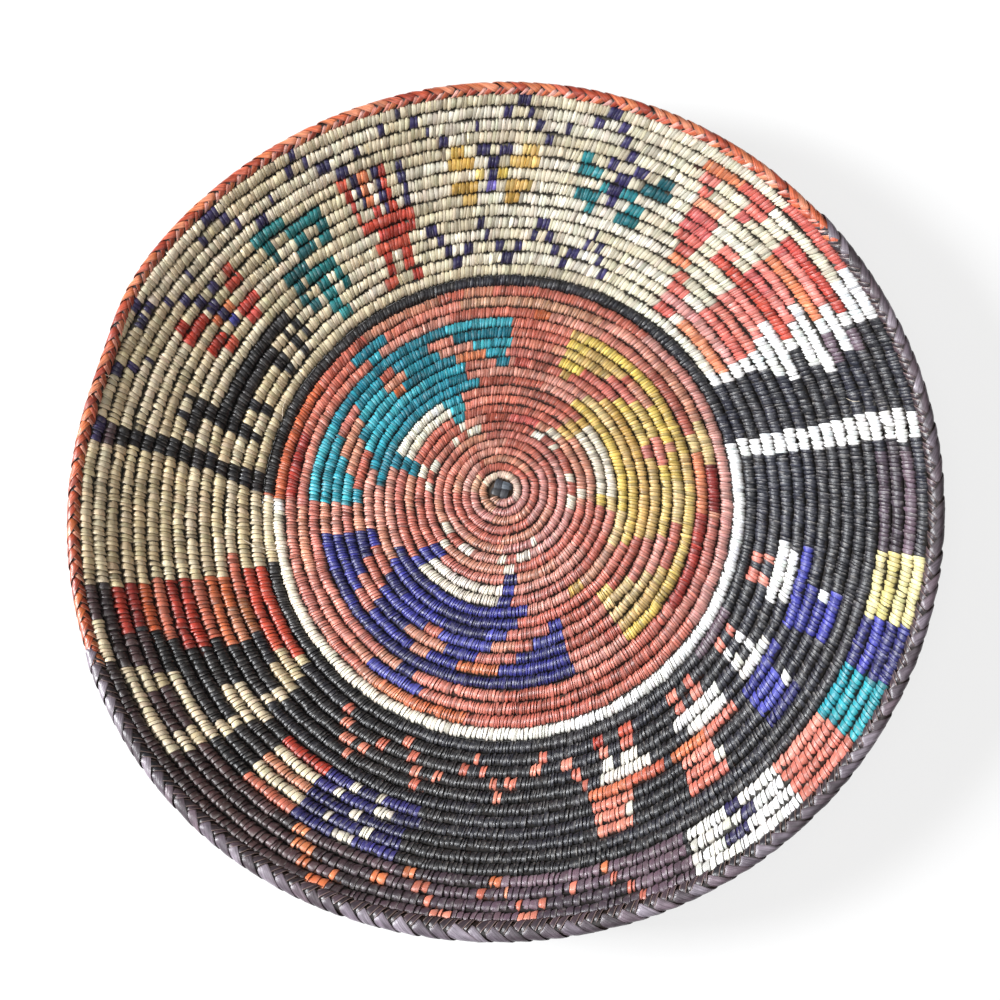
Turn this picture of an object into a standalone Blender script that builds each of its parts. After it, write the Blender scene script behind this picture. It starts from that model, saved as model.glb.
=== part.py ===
"""A coiled basket tray: a wrapped cord wound in one spiral from a plaited start, flat for the base and
sloping for the wall, with a flat plait sewn along its edge.

Units are metres and +Z is up. The tray stands on its flat base, with the middle of its outline over the
origin. Turns are counted outward from the start of the cord, counter-clockwise as seen from above.
"""
import math

import bmesh
import bpy
import numpy as np
from mathutils import Vector

# The cord: its thickness at the start and on the wall, and the gap that the sewing keeps between turns
CORD_AT_START = 0.0035
CORD_ON_WALL = 0.0053
SEWING_GAP = 0.00046
CORD_SIDES = 6
POINTS_PER_TURN = 20

# How many turns the base, the ring row and the wall have
BASE_TURNS = 20.9
RING_TURNS = 1.0
WALL_TURNS = 14.945

# Where the cord starts, as an angle from +X, and how far the start lies from the middle of the tray
START_ANGLE = math.radians(218)
START_SHIFT_Y = 0.0062

# The tray is a little wider than it is deep, as handmade ones are
DEPTH_TO_WIDTH = 0.988

# The wall leans out a little more on one side: how far the middle of its last turn lies aside
RIM_SHIFT_X = -0.0026
RIM_SHIFT_Y = -0.0017

# The wall's slope from the floor, at its foot and at the rim
SLOPE_AT_FOOT = math.radians(20)
SLOPE_AT_RIM = math.radians(36)

# The underside of the base is flat for this share of the cord's thickness
FLAT_SHARE = 0.1

# The last turn thins to this share of its thickness over this many turns
END_SHARE = 0.4
END_TURNS = 0.1

# The plait along the edge: its width along the slope, its thickness, and the turns of its lengths
BRAID_WIDTH = 0.0062
BRAID_THICKNESS = 0.0046
SHORT_TERRACOTTA_TURNS = 0.12
PLUM_TURNS = 0.54

# The start: two pairs of leaf strips, plaited over one and under one
STRIP_WIDTH = 0.0015
STRIP_LENGTH = 0.0046
STRIP_THICKNESS = 0.0005
STRIP_SPACING = 0.0007
STRIP_CLEARANCE = 0.0004

# Clearance between pieces that touch
TOUCH_GAP = 0.0003

# Cuts across the cord keep this share of a straight side clear of its corners
CORNER_CLEARANCE = 0.25

# Points of the cord are set out a little, so that its straight sides lie half inside the true circle
SIDE_CORRECTION = 2 / (1 + math.cos(math.pi / POINTS_PER_TURN))

CREAM = (0.66, 0.58, 0.41)
SALMON = (0.57, 0.13, 0.085)
CHARCOAL = (0.022, 0.021, 0.026)
TERRACOTTA = (0.58, 0.11, 0.055)
PLUM = (0.085, 0.058, 0.068)


def empty_scene():
    """Removes every object, so that only the tray is built."""
    for item in list(bpy.data.objects):
        bpy.data.objects.remove(item, do_unlink=True)


def new_collection(name):
    """A collection linked to the scene."""
    group = bpy.data.collections.new(name)
    bpy.context.scene.collection.children.link(group)
    return group


def leaf_material(name, colour, roughness):
    """Dyed leaf: a matt, slightly waxy surface."""
    material = bpy.data.materials.new(name)
    material.use_nodes = True
    shader = material.node_tree.nodes["Principled BSDF"]
    shader.inputs["Base Color"].default_value = (*colour, 1)
    shader.inputs["Roughness"].default_value = roughness
    shader.inputs["Metallic"].default_value = 0.0
    return material


# The path of the cord

def turn_of(index):
    """How many turns lie before a point of the cord."""
    return index / POINTS_PER_TURN


def plain_thickness(turn):
    """The cord's thickness where turns are evenly spaced: it grows over the base."""
    share = min(turn / (BASE_TURNS + RING_TURNS), 1)
    return CORD_AT_START + (CORD_ON_WALL - CORD_AT_START) * share


def slope_at(turn):
    """The slope of the wall there, and 0 on the base."""
    wall_start = BASE_TURNS + RING_TURNS
    if turn <= wall_start:
        return 0.0
    share = (turn - wall_start) / WALL_TURNS
    return SLOPE_AT_FOOT + (SLOPE_AT_RIM - SLOPE_AT_FOOT) * share


def start_radius():
    """The first turn, with the straight side that it starts with, clears the corners of the plaited start."""
    corner = math.hypot(STRIP_WIDTH + STRIP_SPACING / 2, STRIP_LENGTH / 2)
    radius = corner + TOUCH_GAP + CORD_AT_START / 2
    return radius + CORD_AT_START**2 / (8 * radius)


def march_profile(last_index):
    """Distance from the middle and rise above the base, for each point of the cord."""
    radii = [start_radius()]
    rises = [0.0]
    for index in range(last_index):
        turn = turn_of(index + 0.5)
        step = (plain_thickness(turn) + SEWING_GAP) / POINTS_PER_TURN
        radii.append(radii[-1] + step * math.cos(slope_at(turn)))
        rises.append(rises[-1] + step * math.sin(slope_at(turn)))
    return radii, rises


def middle_shift(turn):
    """How far the middle of a turn lies from the middle of the tray. The ring row is centred."""
    inward = max(1 - turn / (BASE_TURNS + RING_TURNS), 0)
    up_wall = max(turn - BASE_TURNS - RING_TURNS, 0) / WALL_TURNS
    return RIM_SHIFT_X * up_wall, RIM_SHIFT_Y * up_wall + START_SHIFT_Y * inward


def cord_path():
    """The cord's centre line before its thickness is known, as an array with a row for each point."""
    last_index = math.ceil((BASE_TURNS + RING_TURNS + WALL_TURNS) * POINTS_PER_TURN) + 1
    radii, rises = march_profile(last_index)
    path = np.zeros((last_index + 1, 3))
    for index in range(last_index + 1):
        turn = turn_of(index)
        angle = START_ANGLE + 2 * math.pi * turn
        reach = radii[index] * SIDE_CORRECTION
        shift_x, shift_y = middle_shift(turn)
        path[index, 0] = reach * math.cos(angle) + shift_x
        path[index, 1] = reach * math.sin(angle) * DEPTH_TO_WIDTH + shift_y
        path[index, 2] = rises[index]
    return path


def cord_thicknesses(path):
    """The thickness at each point: what the nearer of the turns beside it leaves, less the sewing gap."""
    count = len(path)
    room = np.full(count, np.inf)
    apart = np.linalg.norm(path[POINTS_PER_TURN:] - path[:-POINTS_PER_TURN], axis=1)
    room[:count - POINTS_PER_TURN] = apart
    room[POINTS_PER_TURN:] = np.minimum(room[POINTS_PER_TURN:], apart)
    return room - SEWING_GAP


def outward_slope(path, index):
    """The direction from the turn below to this point: outward along the base or up the wall."""
    return Vector(path[index] - path[index - POINTS_PER_TURN]).normalized()


def finish_cord(path, thickness):
    """Sets the cord on the floor, and thins its last stretch, which lies on the turn below it."""
    flat = (0.5 - FLAT_SHARE) * thickness
    base_end = int((BASE_TURNS + RING_TURNS) * POINTS_PER_TURN)
    path[:base_end, 2] += flat[:base_end]
    path[base_end:, 2] += flat[base_end - 1]
    end_turn = BASE_TURNS + RING_TURNS + WALL_TURNS
    for index in range(base_end + POINTS_PER_TURN, len(path)):
        share = min(max((turn_of(index) - end_turn + END_TURNS) / END_TURNS, 0), 1)
        loss = thickness[index] * (1 - END_SHARE) * share
        path[index] -= np.array(outward_slope(path, index)) * loss / 2
        thickness[index] -= loss
    return path, thickness


def centre_in_outline(path, thickness):
    """How far the middle of the outline, with the plait, lies from the middle of the turns."""
    reach = thickness / 2 + TOUCH_GAP + BRAID_WIDTH
    last = path[-POINTS_PER_TURN - 2:-2]
    wide = reach[-POINTS_PER_TURN - 2:-2]
    middle = []
    for axis in (0, 1):
        middle.append((max(last[:, axis] + wide) + min(last[:, axis] - wide)) / 2)
    return middle


def least_gap(path, thickness):
    """The least gap between a turn and the next, measured from every point to the sides beside it."""
    found = math.inf
    for index in range(POINTS_PER_TURN, len(path) - 1):
        point = Vector(path[index])
        for beside in range(index - POINTS_PER_TURN - 1, index - POINTS_PER_TURN + 1):
            first = Vector(path[max(beside, 0)])
            side = Vector(path[max(beside, 0) + 1]) - first
            share = min(max((point - first).dot(side) / side.length_squared, 0), 1)
            near = first + side * share
            start, end = thickness[max(beside, 0)], thickness[max(beside, 0) + 1]
            half = (start + (end - start) * share + thickness[index]) / 2
            found = min(found, (point - near).length - half)
    return found


# Tubes and bands along that path

def cut_place(turn):
    """The place itself, or the nearest one that is far enough from a corner to be cut square."""
    position = turn * POINTS_PER_TURN
    side = math.floor(position + 1e-6)
    share = min(max(position - side, CORNER_CLEARANCE), 1 - CORNER_CLEARANCE)
    return (side + share) / POINTS_PER_TURN


def on_side(values, turn):
    """A value of the path at any turn, between the two points beside it."""
    position = turn * POINTS_PER_TURN
    index = min(int(position), len(values) - 2)
    share = position - index
    return values[index] * (1 - share) + values[index + 1] * share


def stretch(path, thickness, first_turn, last_turn, start_cut, end_cut):
    """The points and thicknesses of one length, cut back a little at the ends that meet another."""
    rows = []
    inner = range(math.ceil(first_turn * POINTS_PER_TURN), math.floor(last_turn * POINTS_PER_TURN) + 1)
    for index in inner:
        rows.append((Vector(path[index]), thickness[index]))
    if first_turn > 0:
        point = Vector(on_side(path, first_turn))
        point += (rows[0][0] - point).normalized() * start_cut
        rows.insert(0, (point, on_side(thickness, first_turn)))
    point = Vector(on_side(path, last_turn))
    point += (rows[-1][0] - point).normalized() * end_cut
    rows.append((point, on_side(thickness, last_turn)))
    return rows


def straight_start(rows):
    """The cord's first end runs straight for one thickness, beside the plaited start."""
    first, thickness = rows[0]
    kept = 1
    while (rows[kept][0] - first).length < thickness:
        kept += 1
    return rows[:1] + rows[kept:]


def tube_curve(name, rows, group, material):
    """A closed round tube through the rows, whose thickness follows them."""
    curve = bpy.data.curves.new(name, "CURVE")
    curve.dimensions = "3D"
    curve.twist_mode = "Z_UP"
    curve.bevel_depth = 0.5
    curve.bevel_resolution = (CORD_SIDES - 4) // 2
    curve.use_fill_caps = True
    spline = curve.splines.new("POLY")
    spline.points.add(len(rows) - 1)
    for target, (point, thickness) in zip(spline.points, rows):
        target.co = (*point, 1)
        target.radius = thickness
    tube = bpy.data.objects.new(name, curve)
    tube.data.materials.append(material)
    group.objects.link(tube)
    return tube


def as_mesh(curve_object, group):
    """The curve's own surface as a mesh object of the same name, with its caps joined on."""
    bpy.context.view_layer.update()
    name = curve_object.name
    seen = curve_object.evaluated_get(bpy.context.evaluated_depsgraph_get())
    mesh = bpy.data.meshes.new_from_object(seen)
    solid = bpy.data.objects.new(name + "_mesh", mesh)
    solid.matrix_world = curve_object.matrix_world
    bpy.data.objects.remove(curve_object, do_unlink=True)
    solid.name = name
    mesh.name = name
    group.objects.link(solid)
    work = bmesh.new()
    work.from_mesh(mesh)
    bmesh.ops.remove_doubles(work, verts=work.verts, dist=1e-6)
    bmesh.ops.recalc_face_normals(work, faces=work.faces)
    work.to_mesh(mesh)
    work.free()
    mesh.shade_smooth()
    mesh.set_sharp_from_angle(angle=math.radians(50))
    return solid


def press_flat(solid):
    """Where a turn stands on the floor it has a flat, at the level of the floor."""
    for vertex in solid.data.vertices:
        vertex.co.z = max(vertex.co.z, 0)


def band_profile(group):
    """The plait's section: a flat oval, thin across the wall and long up its slope."""
    curve = bpy.data.curves.new("braid_section", "CURVE")
    curve.dimensions = "2D"
    spline = curve.splines.new("POLY")
    corners = 8
    spline.points.add(corners - 1)
    for number, target in enumerate(spline.points):
        angle = 2 * math.pi * (number + 0.5) / corners
        widen = 1 / math.cos(math.pi / corners)
        across = math.cos(angle) * BRAID_WIDTH / 2 * widen
        through = math.sin(angle) * BRAID_THICKNESS / 2 * widen
        target.co = (across, through, 0, 1)
    spline.use_cyclic_u = True
    section = bpy.data.objects.new("braid_section", curve)
    section.hide_render = True
    section.display_type = "WIRE"
    group.objects.link(section)
    return section


def braid_path(path, thickness):
    """The plait's centre line, which lies on the outer edge of the last turn."""
    line = np.array(path)
    for index in range(POINTS_PER_TURN, len(path)):
        offset = thickness[index] / 2 + TOUCH_GAP + BRAID_WIDTH / 2
        line[index] = path[index] + np.array(outward_slope(path, index)) * offset
    return line


def braid_length(name, rows, section, group, material):
    """One length of the plait as a plain flat band, turned to the slope of the wall."""
    curve = bpy.data.curves.new(name, "CURVE")
    curve.dimensions = "3D"
    curve.twist_mode = "Z_UP"
    curve.bevel_mode = "OBJECT"
    curve.bevel_object = section
    curve.use_fill_caps = True
    spline = curve.splines.new("POLY")
    spline.points.add(len(rows) - 1)
    for target, (point, tilt) in zip(spline.points, rows):
        target.co = (*point, 1)
        target.tilt = -tilt
    band = bpy.data.objects.new(name, curve)
    band.data.materials.append(material)
    group.objects.link(band)
    return band


def leaf_strip(name, along_x, side, first_over, level, group, material):
    """One strip of the plaited start: over one crossing strip and under the other."""
    lift = (STRIP_THICKNESS + STRIP_CLEARANCE) / 2
    if not first_over:
        lift = -lift
    aside = side * (STRIP_WIDTH + STRIP_SPACING) / 2
    bend = STRIP_SPACING / 2
    heights = [(-STRIP_LENGTH / 2, lift), (-bend, lift), (bend, -lift), (STRIP_LENGTH / 2, -lift)]
    work = bmesh.new()
    edges = []
    for across in (-STRIP_WIDTH / 2, STRIP_WIDTH / 2):
        row = []
        for along, height in heights:
            place = (along, aside + across, height) if along_x else (aside + across, along, height)
            row.append(work.verts.new(place))
        edges.append(row)
    for number in range(len(heights) - 1):
        corners = [edges[0][number], edges[0][number + 1], edges[1][number + 1], edges[1][number]]
        work.faces.new(corners if along_x else corners[::-1])
    mesh = bpy.data.meshes.new(name)
    work.to_mesh(mesh)
    work.free()
    strip = bpy.data.objects.new(name, mesh)
    strip.location = (0, START_SHIFT_Y, level)
    mesh.materials.append(material)
    group.objects.link(strip)
    thick = strip.modifiers.new("thickness", "SOLIDIFY")
    thick.thickness = STRIP_THICKNESS
    thick.offset = 0
    thick.use_even_offset = True
    return strip


def build_cord(path, thickness, group):
    """The base, the ring row and the wall: three lengths of one cord, cut square where they meet."""
    ring_start = cut_place(BASE_TURNS)
    wall_start = cut_place(BASE_TURNS + RING_TURNS)
    cord_end = cut_place(BASE_TURNS + RING_TURNS + WALL_TURNS)
    cut = TOUCH_GAP / 2
    base_rows = straight_start(stretch(path, thickness, 0, ring_start, 0, cut))
    base = tube_curve("base_coil", base_rows, group, leaf_material("salmon_leaf", SALMON, 0.6))
    press_flat(as_mesh(base, group))
    ring_rows = stretch(path, thickness, ring_start, wall_start, cut, cut)
    ring = tube_curve("ring_row", ring_rows, group, leaf_material("black_leaf", CHARCOAL, 0.55))
    press_flat(as_mesh(ring, group))
    wall_rows = stretch(path, thickness, wall_start, cord_end, cut, 0)
    wall = tube_curve("wall_coil", wall_rows, group, leaf_material("cream_leaf", CREAM, 0.6))
    press_flat(as_mesh(wall, group))
    return cord_end


def build_braid(path, thickness, cord_end, group, guides):
    """The plait, in its three lengths, from one side of the cord's end round to the other."""
    section = band_profile(guides)
    line = braid_path(path, thickness)
    slopes = np.array([math.asin(outward_slope(path, max(i, POINTS_PER_TURN)).z) for i in range(len(path))])
    begin = cord_end - 1
    plum_begin = cut_place(begin + SHORT_TERRACOTTA_TURNS)
    plum_end = cut_place(plum_begin + PLUM_TURNS)
    terracotta = leaf_material("terracotta_leaf", TERRACOTTA, 0.5)
    plum = leaf_material("plum_leaf", PLUM, 0.5)
    cut = TOUCH_GAP / 2
    lengths = [
        ("rim_braid_terracotta_short", begin, plum_begin, cut, cut, terracotta),
        ("rim_braid_plum", plum_begin, plum_end, cut, cut, plum),
        ("rim_braid_terracotta_long", plum_end, cord_end, cut, cut, terracotta),
    ]
    for name, first, last, start_cut, end_cut, material in lengths:
        rows = stretch(line, slopes, first, last, start_cut, end_cut)
        as_mesh(braid_length(name, rows, section, group, material), group)


def build_start(group):
    """Four strips, two each way, plaited at the middle of the base."""
    black = leaf_material("start_leaf", CHARCOAL, 0.5)
    level = CORD_AT_START / 2
    number = 0
    for along_x in (True, False):
        for side in (-1, 1):
            number += 1
            first_over = (side > 0) == along_x
            leaf_strip(f"start_strip_{number}", along_x, side, first_over, level, group, black)


def build_tray():
    """Builds every piece and moves them so that the outline is centred on the origin."""
    empty_scene()
    group = new_collection("coiled_basket_tray")
    guides = new_collection("guides")
    path = cord_path()
    thickness = cord_thicknesses(path)
    path, thickness = finish_cord(path, thickness)
    print(f"least gap between turns: {least_gap(path, thickness) * 1000:.3f} mm")
    cord_end = build_cord(path, thickness, group)
    build_braid(path, thickness, cord_end, group, guides)
    build_start(group)
    shift_x, shift_y = centre_in_outline(path, thickness)
    bpy.context.view_layer.update()
    for item in group.objects:
        item.location.x -= shift_x
        item.location.y -= shift_y
    bpy.context.view_layer.update()
    rest = on_side(path, cut_place(BASE_TURNS + RING_TURNS / 2))
    print(f"a point of the flat under the ring row: {rest[0] - shift_x:.5f}, {rest[1] - shift_y:.5f}, 0")
    for item in group.objects:
        corners = [item.matrix_world @ Vector(corner) for corner in item.bound_box]
        spans = [max(c[axis] for c in corners) - min(c[axis] for c in corners) for axis in range(3)]
        print(item.name, "spans", " x ".join(f"{span * 1000:.1f}" for span in spans), "mm")


build_tray()
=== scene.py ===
"""Looks for a shallow coiled basket tray: sewn rows of dyed leaf, a plaited rim and a black start knot.

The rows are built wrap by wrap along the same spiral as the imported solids. Patterns are painted by
changing the dye of the wraps, row by row, at bearings counted clockwise from twelve o'clock about
the start, as the camera sees them. Lengths are in metres and angles in degrees.
"""

import math

import bpy
import numpy as np
from mathutils import Matrix, Vector


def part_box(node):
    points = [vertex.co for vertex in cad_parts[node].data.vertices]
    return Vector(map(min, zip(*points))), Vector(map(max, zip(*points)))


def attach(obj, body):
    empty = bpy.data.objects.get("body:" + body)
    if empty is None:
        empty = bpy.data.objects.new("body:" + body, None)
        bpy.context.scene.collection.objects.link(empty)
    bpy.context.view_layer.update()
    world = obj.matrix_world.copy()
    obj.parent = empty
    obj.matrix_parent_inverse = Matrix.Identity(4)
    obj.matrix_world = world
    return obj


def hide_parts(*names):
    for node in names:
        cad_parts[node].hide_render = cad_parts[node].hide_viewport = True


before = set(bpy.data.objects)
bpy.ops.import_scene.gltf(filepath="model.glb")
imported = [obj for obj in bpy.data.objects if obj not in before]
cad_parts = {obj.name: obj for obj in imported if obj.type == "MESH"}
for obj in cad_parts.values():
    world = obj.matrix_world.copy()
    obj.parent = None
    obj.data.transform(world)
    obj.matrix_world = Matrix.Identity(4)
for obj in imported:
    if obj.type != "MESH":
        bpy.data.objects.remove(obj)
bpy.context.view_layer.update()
random = np.random.default_rng(4788)


# Small sums used all through

def unit(vectors):
    """Vectors brought to length 1."""
    return vectors / np.linalg.norm(vectors, axis=-1, keepdims=True)


def ramp(value, low, high):
    """From 0 at the low value to 1 at the high one."""
    return np.clip((value - low) / (high - low), 0, 1)


def smooth(share):
    """A share from 0 to 1 that starts and stops gently."""
    return share * share * (3 - 2 * share)


def bell(bearing, middle, spread):
    """1 at the middle bearing, and less and less to both sides of it."""
    return np.exp(-((bearing - middle) / spread) ** 2)


def sample(places, line, values):
    """Values given along a line, taken at places on it."""
    if values.ndim == 1:
        return np.interp(places, line, values)
    return np.stack([np.interp(places, line, column) for column in values.T], axis=-1)


def running_length(points):
    """How far along a line of points each of them lies."""
    return np.append(0, np.cumsum(np.linalg.norm(np.diff(points, axis=0), axis=1)))


# The spiral of the cord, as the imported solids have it, and flatter near the rim on two sides

CORD_AT_START = 0.0035
CORD_ON_WALL = 0.0053
SEWING_GAP = 0.00046
BASE_TURNS = 20.9
RING_TURNS = 1.0
WALL_TURNS = 14.945
START_ANGLE = 218
START_RADIUS = 0.00531
START_SHIFT_Y = 0.0062
DEPTH_TO_WIDTH = 0.988
RIM_SHIFT_X = -0.0026
RIM_SHIFT_Y = -0.0017
SLOPE_AT_FOOT = 20
SLOPE_AT_RIM = 36
CORD_LIFT = 0.4
FLATTER_SIDES = [(180, 0.0028, 32), (60, 0.0014, 25)]
FLATTER_FROM = 0.3
END_TAPER_TURNS = 0.035
END_TAPER = 0.62
SPARE_TURNS = 0.06
TURN_STEPS = 720

WALL_FOOT = BASE_TURNS + RING_TURNS
CORD_TURNS = WALL_FOOT + WALL_TURNS


def middle_of_start():
    """The middle of the four start strips."""
    corners = [corner for n in range(1, 5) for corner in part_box(f"start_strip_{n}")]
    return sum(corners, Vector()) / len(corners)


START = middle_of_start()
TRAY_X = START.x
TRAY_Y = START.y - START_SHIFT_Y


# The camera

CAMERA_TILT_X = 10.461
CAMERA_TILT_Y = 5.983
CAMERA_DISTANCE = 0.5775
CAMERA_AIM_Z = 0.025
FOCAL_PIXELS = 1287.2
CENTRE_PIXEL = (497.3, 494.8)
PICTURE_SIZE = 1000


def make_camera():
    """A camera almost straight above, tilted a little to the near side and to the right."""
    turn = Matrix.Rotation(math.radians(CAMERA_TILT_X), 4, "X")
    turn = turn @ Matrix.Rotation(math.radians(CAMERA_TILT_Y), 4, "Y")
    aim = Vector((TRAY_X, TRAY_Y, CAMERA_AIM_Z))
    place = aim + turn @ Vector((0, 0, CAMERA_DISTANCE))
    data = bpy.data.cameras.new("camera")
    data.sensor_width = 36
    data.lens = FOCAL_PIXELS * data.sensor_width / PICTURE_SIZE
    data.shift_x = (PICTURE_SIZE / 2 - CENTRE_PIXEL[0]) / PICTURE_SIZE
    data.shift_y = (CENTRE_PIXEL[1] - PICTURE_SIZE / 2) / PICTURE_SIZE
    data.clip_start = 0.01
    camera = bpy.data.objects.new("camera", data)
    camera.matrix_world = Matrix.Translation(place) @ turn
    bpy.context.scene.collection.objects.link(camera)
    bpy.context.scene.camera = camera
    return np.array(place), np.array(turn.to_3x3())


EYE, EYE_AXES = make_camera()


def on_picture(points):
    """Where points of the tray lie on the picture, in pixels from its top left corner."""
    seen = (points - EYE) @ EYE_AXES
    across = CENTRE_PIXEL[0] + FOCAL_PIXELS * seen[..., 0] / -seen[..., 2]
    down = CENTRE_PIXEL[1] - FOCAL_PIXELS * seen[..., 1] / -seen[..., 2]
    return across, down


# The centre line of the cord and the frame that goes with it

START_BEARING = 232
SEEN_HEIGHT = 0.9


def bearing_of(turn):
    """The bearing at a turn told by bearings."""
    return (START_BEARING - 360 * turn) % 360


def part_of_turn(bearing):
    """How much of a turn lies between the start's bearing and another."""
    return ((START_BEARING - bearing) % 360) / 360


class Coil:
    """The centre line, its directions and the size of the cord, at fine steps of the turn."""

    def __init__(self):
        self.turn = np.arange(int((CORD_TURNS + SPARE_TURNS) * TURN_STEPS) + 1) / TURN_STEPS
        grown = np.minimum(self.turn / WALL_FOOT, 1)
        thick = CORD_AT_START + (CORD_ON_WALL - CORD_AT_START) * grown
        step = (thick + SEWING_GAP) / TURN_STEPS
        up_wall = np.maximum(self.turn - WALL_FOOT, 0) / WALL_TURNS
        slope = np.radians(SLOPE_AT_FOOT + (SLOPE_AT_RIM - SLOPE_AT_FOOT) * up_wall)
        slope[self.turn <= WALL_FOOT] = 0
        radius = START_RADIUS + np.append(0, np.cumsum(step * np.cos(slope))[:-1])
        rise = np.append(0, np.cumsum(step * np.sin(slope))[:-1])
        angle = np.radians(START_ANGLE) + 2 * np.pi * self.turn
        near_rim = smooth(ramp(up_wall, FLATTER_FROM, 1))
        for bearing, depth, spread in FLATTER_SIDES:
            aside = (np.degrees(angle) + bearing + 90) % 360 - 180
            radius = radius - depth * near_rim * bell(aside, 0, spread)
        shift = START_SHIFT_Y * (1 - grown)
        self.place = np.stack([
            TRAY_X + radius * np.cos(angle) + RIM_SHIFT_X * up_wall,
            TRAY_Y + radius * np.sin(angle) * DEPTH_TO_WIDTH + shift + RIM_SHIFT_Y * up_wall,
            rise + CORD_LIFT * thick,
        ], axis=1)
        self.find_directions()
        taper = ramp(self.turn, CORD_TURNS - END_TAPER_TURNS, CORD_TURNS)
        self.fullness = 1 - END_TAPER * taper
        self.place -= self.out * (self.half_width * (1 - self.fullness))[:, None]
        self.length = running_length(self.place)
        self.bearing_turn = self.turns_by_bearing()

    def find_directions(self):
        """Half the room that the turns on both sides leave, and the ways along, outward and up."""
        to_next = self.place[TURN_STEPS:] - self.place[:-TURN_STEPS]
        room = np.linalg.norm(to_next, axis=1)
        self.half_width = (np.append(room[:TURN_STEPS], room) + np.append(room, room[-TURN_STEPS:])) / 4
        outward = np.empty_like(self.place)
        outward[TURN_STEPS:-TURN_STEPS] = self.place[2 * TURN_STEPS:] - self.place[:-2 * TURN_STEPS]
        outward[:TURN_STEPS] = to_next[:TURN_STEPS]
        outward[-TURN_STEPS:] = to_next[-TURN_STEPS:]
        self.along = unit(np.gradient(self.place, axis=0))
        outward -= self.along * np.sum(outward * self.along, axis=1, keepdims=True)
        self.out = unit(outward)
        self.up = np.cross(self.out, self.along)

    def directions(self, distance):
        """The ways along, outward and up at distances along the cord."""
        return [unit(sample(distance, self.length, way)) for way in (self.along, self.out, self.up)]

    def turns_by_bearing(self):
        """The turn told by the bearing about the start as the camera sees it."""
        across, down = on_picture(self.place + self.up * (self.half_width * SEEN_HEIGHT)[:, None])
        start_across, start_down = on_picture(np.array(START))
        part = part_of_turn(np.degrees(np.arctan2(across - start_across, start_down - down)))
        return part + np.round(self.turn - part)


coil = Coil()


# Dyes: several tints of each, which change from strip to strip

def linear(colour):
    """A colour given in 0 to 255 display levels as linear light."""
    levels = np.array(colour, float) / 255
    return np.where(levels <= 0.04045, levels / 12.92, ((levels + 0.055) / 1.055) ** 2.4)


DYES = {
    "cream": [(218, 206, 178), (209, 196, 166), (226, 216, 194), (201, 188, 160), (221, 211, 188)],
    "ivory": [(234, 227, 206), (226, 217, 193), (239, 233, 216)],
    "white": [(235, 232, 223), (228, 223, 211), (239, 236, 229)],
    "black": [(33, 32, 36), (28, 28, 33), (40, 38, 42), (34, 34, 43)],
    "charcoal": [(46, 46, 53), (40, 40, 48), (52, 49, 54)],
    "plum": [(84, 66, 74), (68, 53, 62), (96, 76, 84), (56, 45, 52)],
    "salmon": [(202, 126, 108), (190, 106, 88), (212, 146, 128), (180, 94, 76), (202, 138, 112),
               (190, 112, 98)],
    "blush": [(226, 190, 168), (218, 178, 154), (230, 200, 180)],
    "coral": [(208, 120, 100), (198, 108, 90), (218, 134, 114)],
    "rust": [(192, 94, 57), (176, 77, 45), (204, 112, 77), (184, 88, 63)],
    "tan": [(200, 150, 122), (192, 140, 112), (207, 159, 131)],
    "pink": [(206, 146, 134), (198, 134, 123), (212, 156, 143)],
    "red": [(190, 72, 54), (172, 56, 42), (200, 88, 66), (182, 66, 56)],
    "crimson": [(156, 46, 37), (144, 41, 35), (168, 56, 45)],
    "brick": [(206, 104, 89), (192, 88, 75), (214, 122, 107), (200, 96, 89)],
    "apricot": [(226, 138, 98), (218, 126, 84), (232, 152, 118)],
    "sea": [(44, 151, 167), (36, 137, 155), (60, 165, 179), (30, 123, 141)],
    "orange": [(214, 122, 80), (206, 112, 70), (220, 134, 92)],
    "peach": [(216, 148, 120), (209, 139, 110)],
    "teal": [(28, 118, 122), (22, 104, 108), (42, 136, 140), (22, 92, 98)],
    "turquoise": [(30, 142, 149), (24, 130, 139), (40, 153, 160)],
    "violet": [(54, 54, 138), (42, 42, 114), (75, 76, 160), (36, 34, 94)],
    "indigo": [(42, 40, 106), (34, 32, 88), (56, 53, 124), (28, 26, 74)],
    "lilac": [(108, 96, 164), (98, 88, 154)],
    "purple": [(46, 38, 84), (40, 34, 76), (54, 46, 92)],
    "yellow": [(222, 194, 112), (212, 182, 94), (218, 192, 132), (225, 197, 96), (206, 174, 106)],
    "pale_yellow": [(205, 188, 124), (198, 180, 112), (211, 196, 138)],
    "ochre": [(204, 166, 84), (194, 154, 74), (212, 174, 100)],
    "brown": [(158, 98, 64), (142, 86, 56)],
}
TINTS = {name: [linear(tint) for tint in tints] for name, tints in DYES.items()}


# The patterns. Each row's name is followed by dyes, and each dye by the bearings between which the
# row has it. What comes later is painted over what came before. Row 0 is the ring row, rows 1 to 15
# climb the wall and rows -1 to -21 go in to the start.

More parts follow.
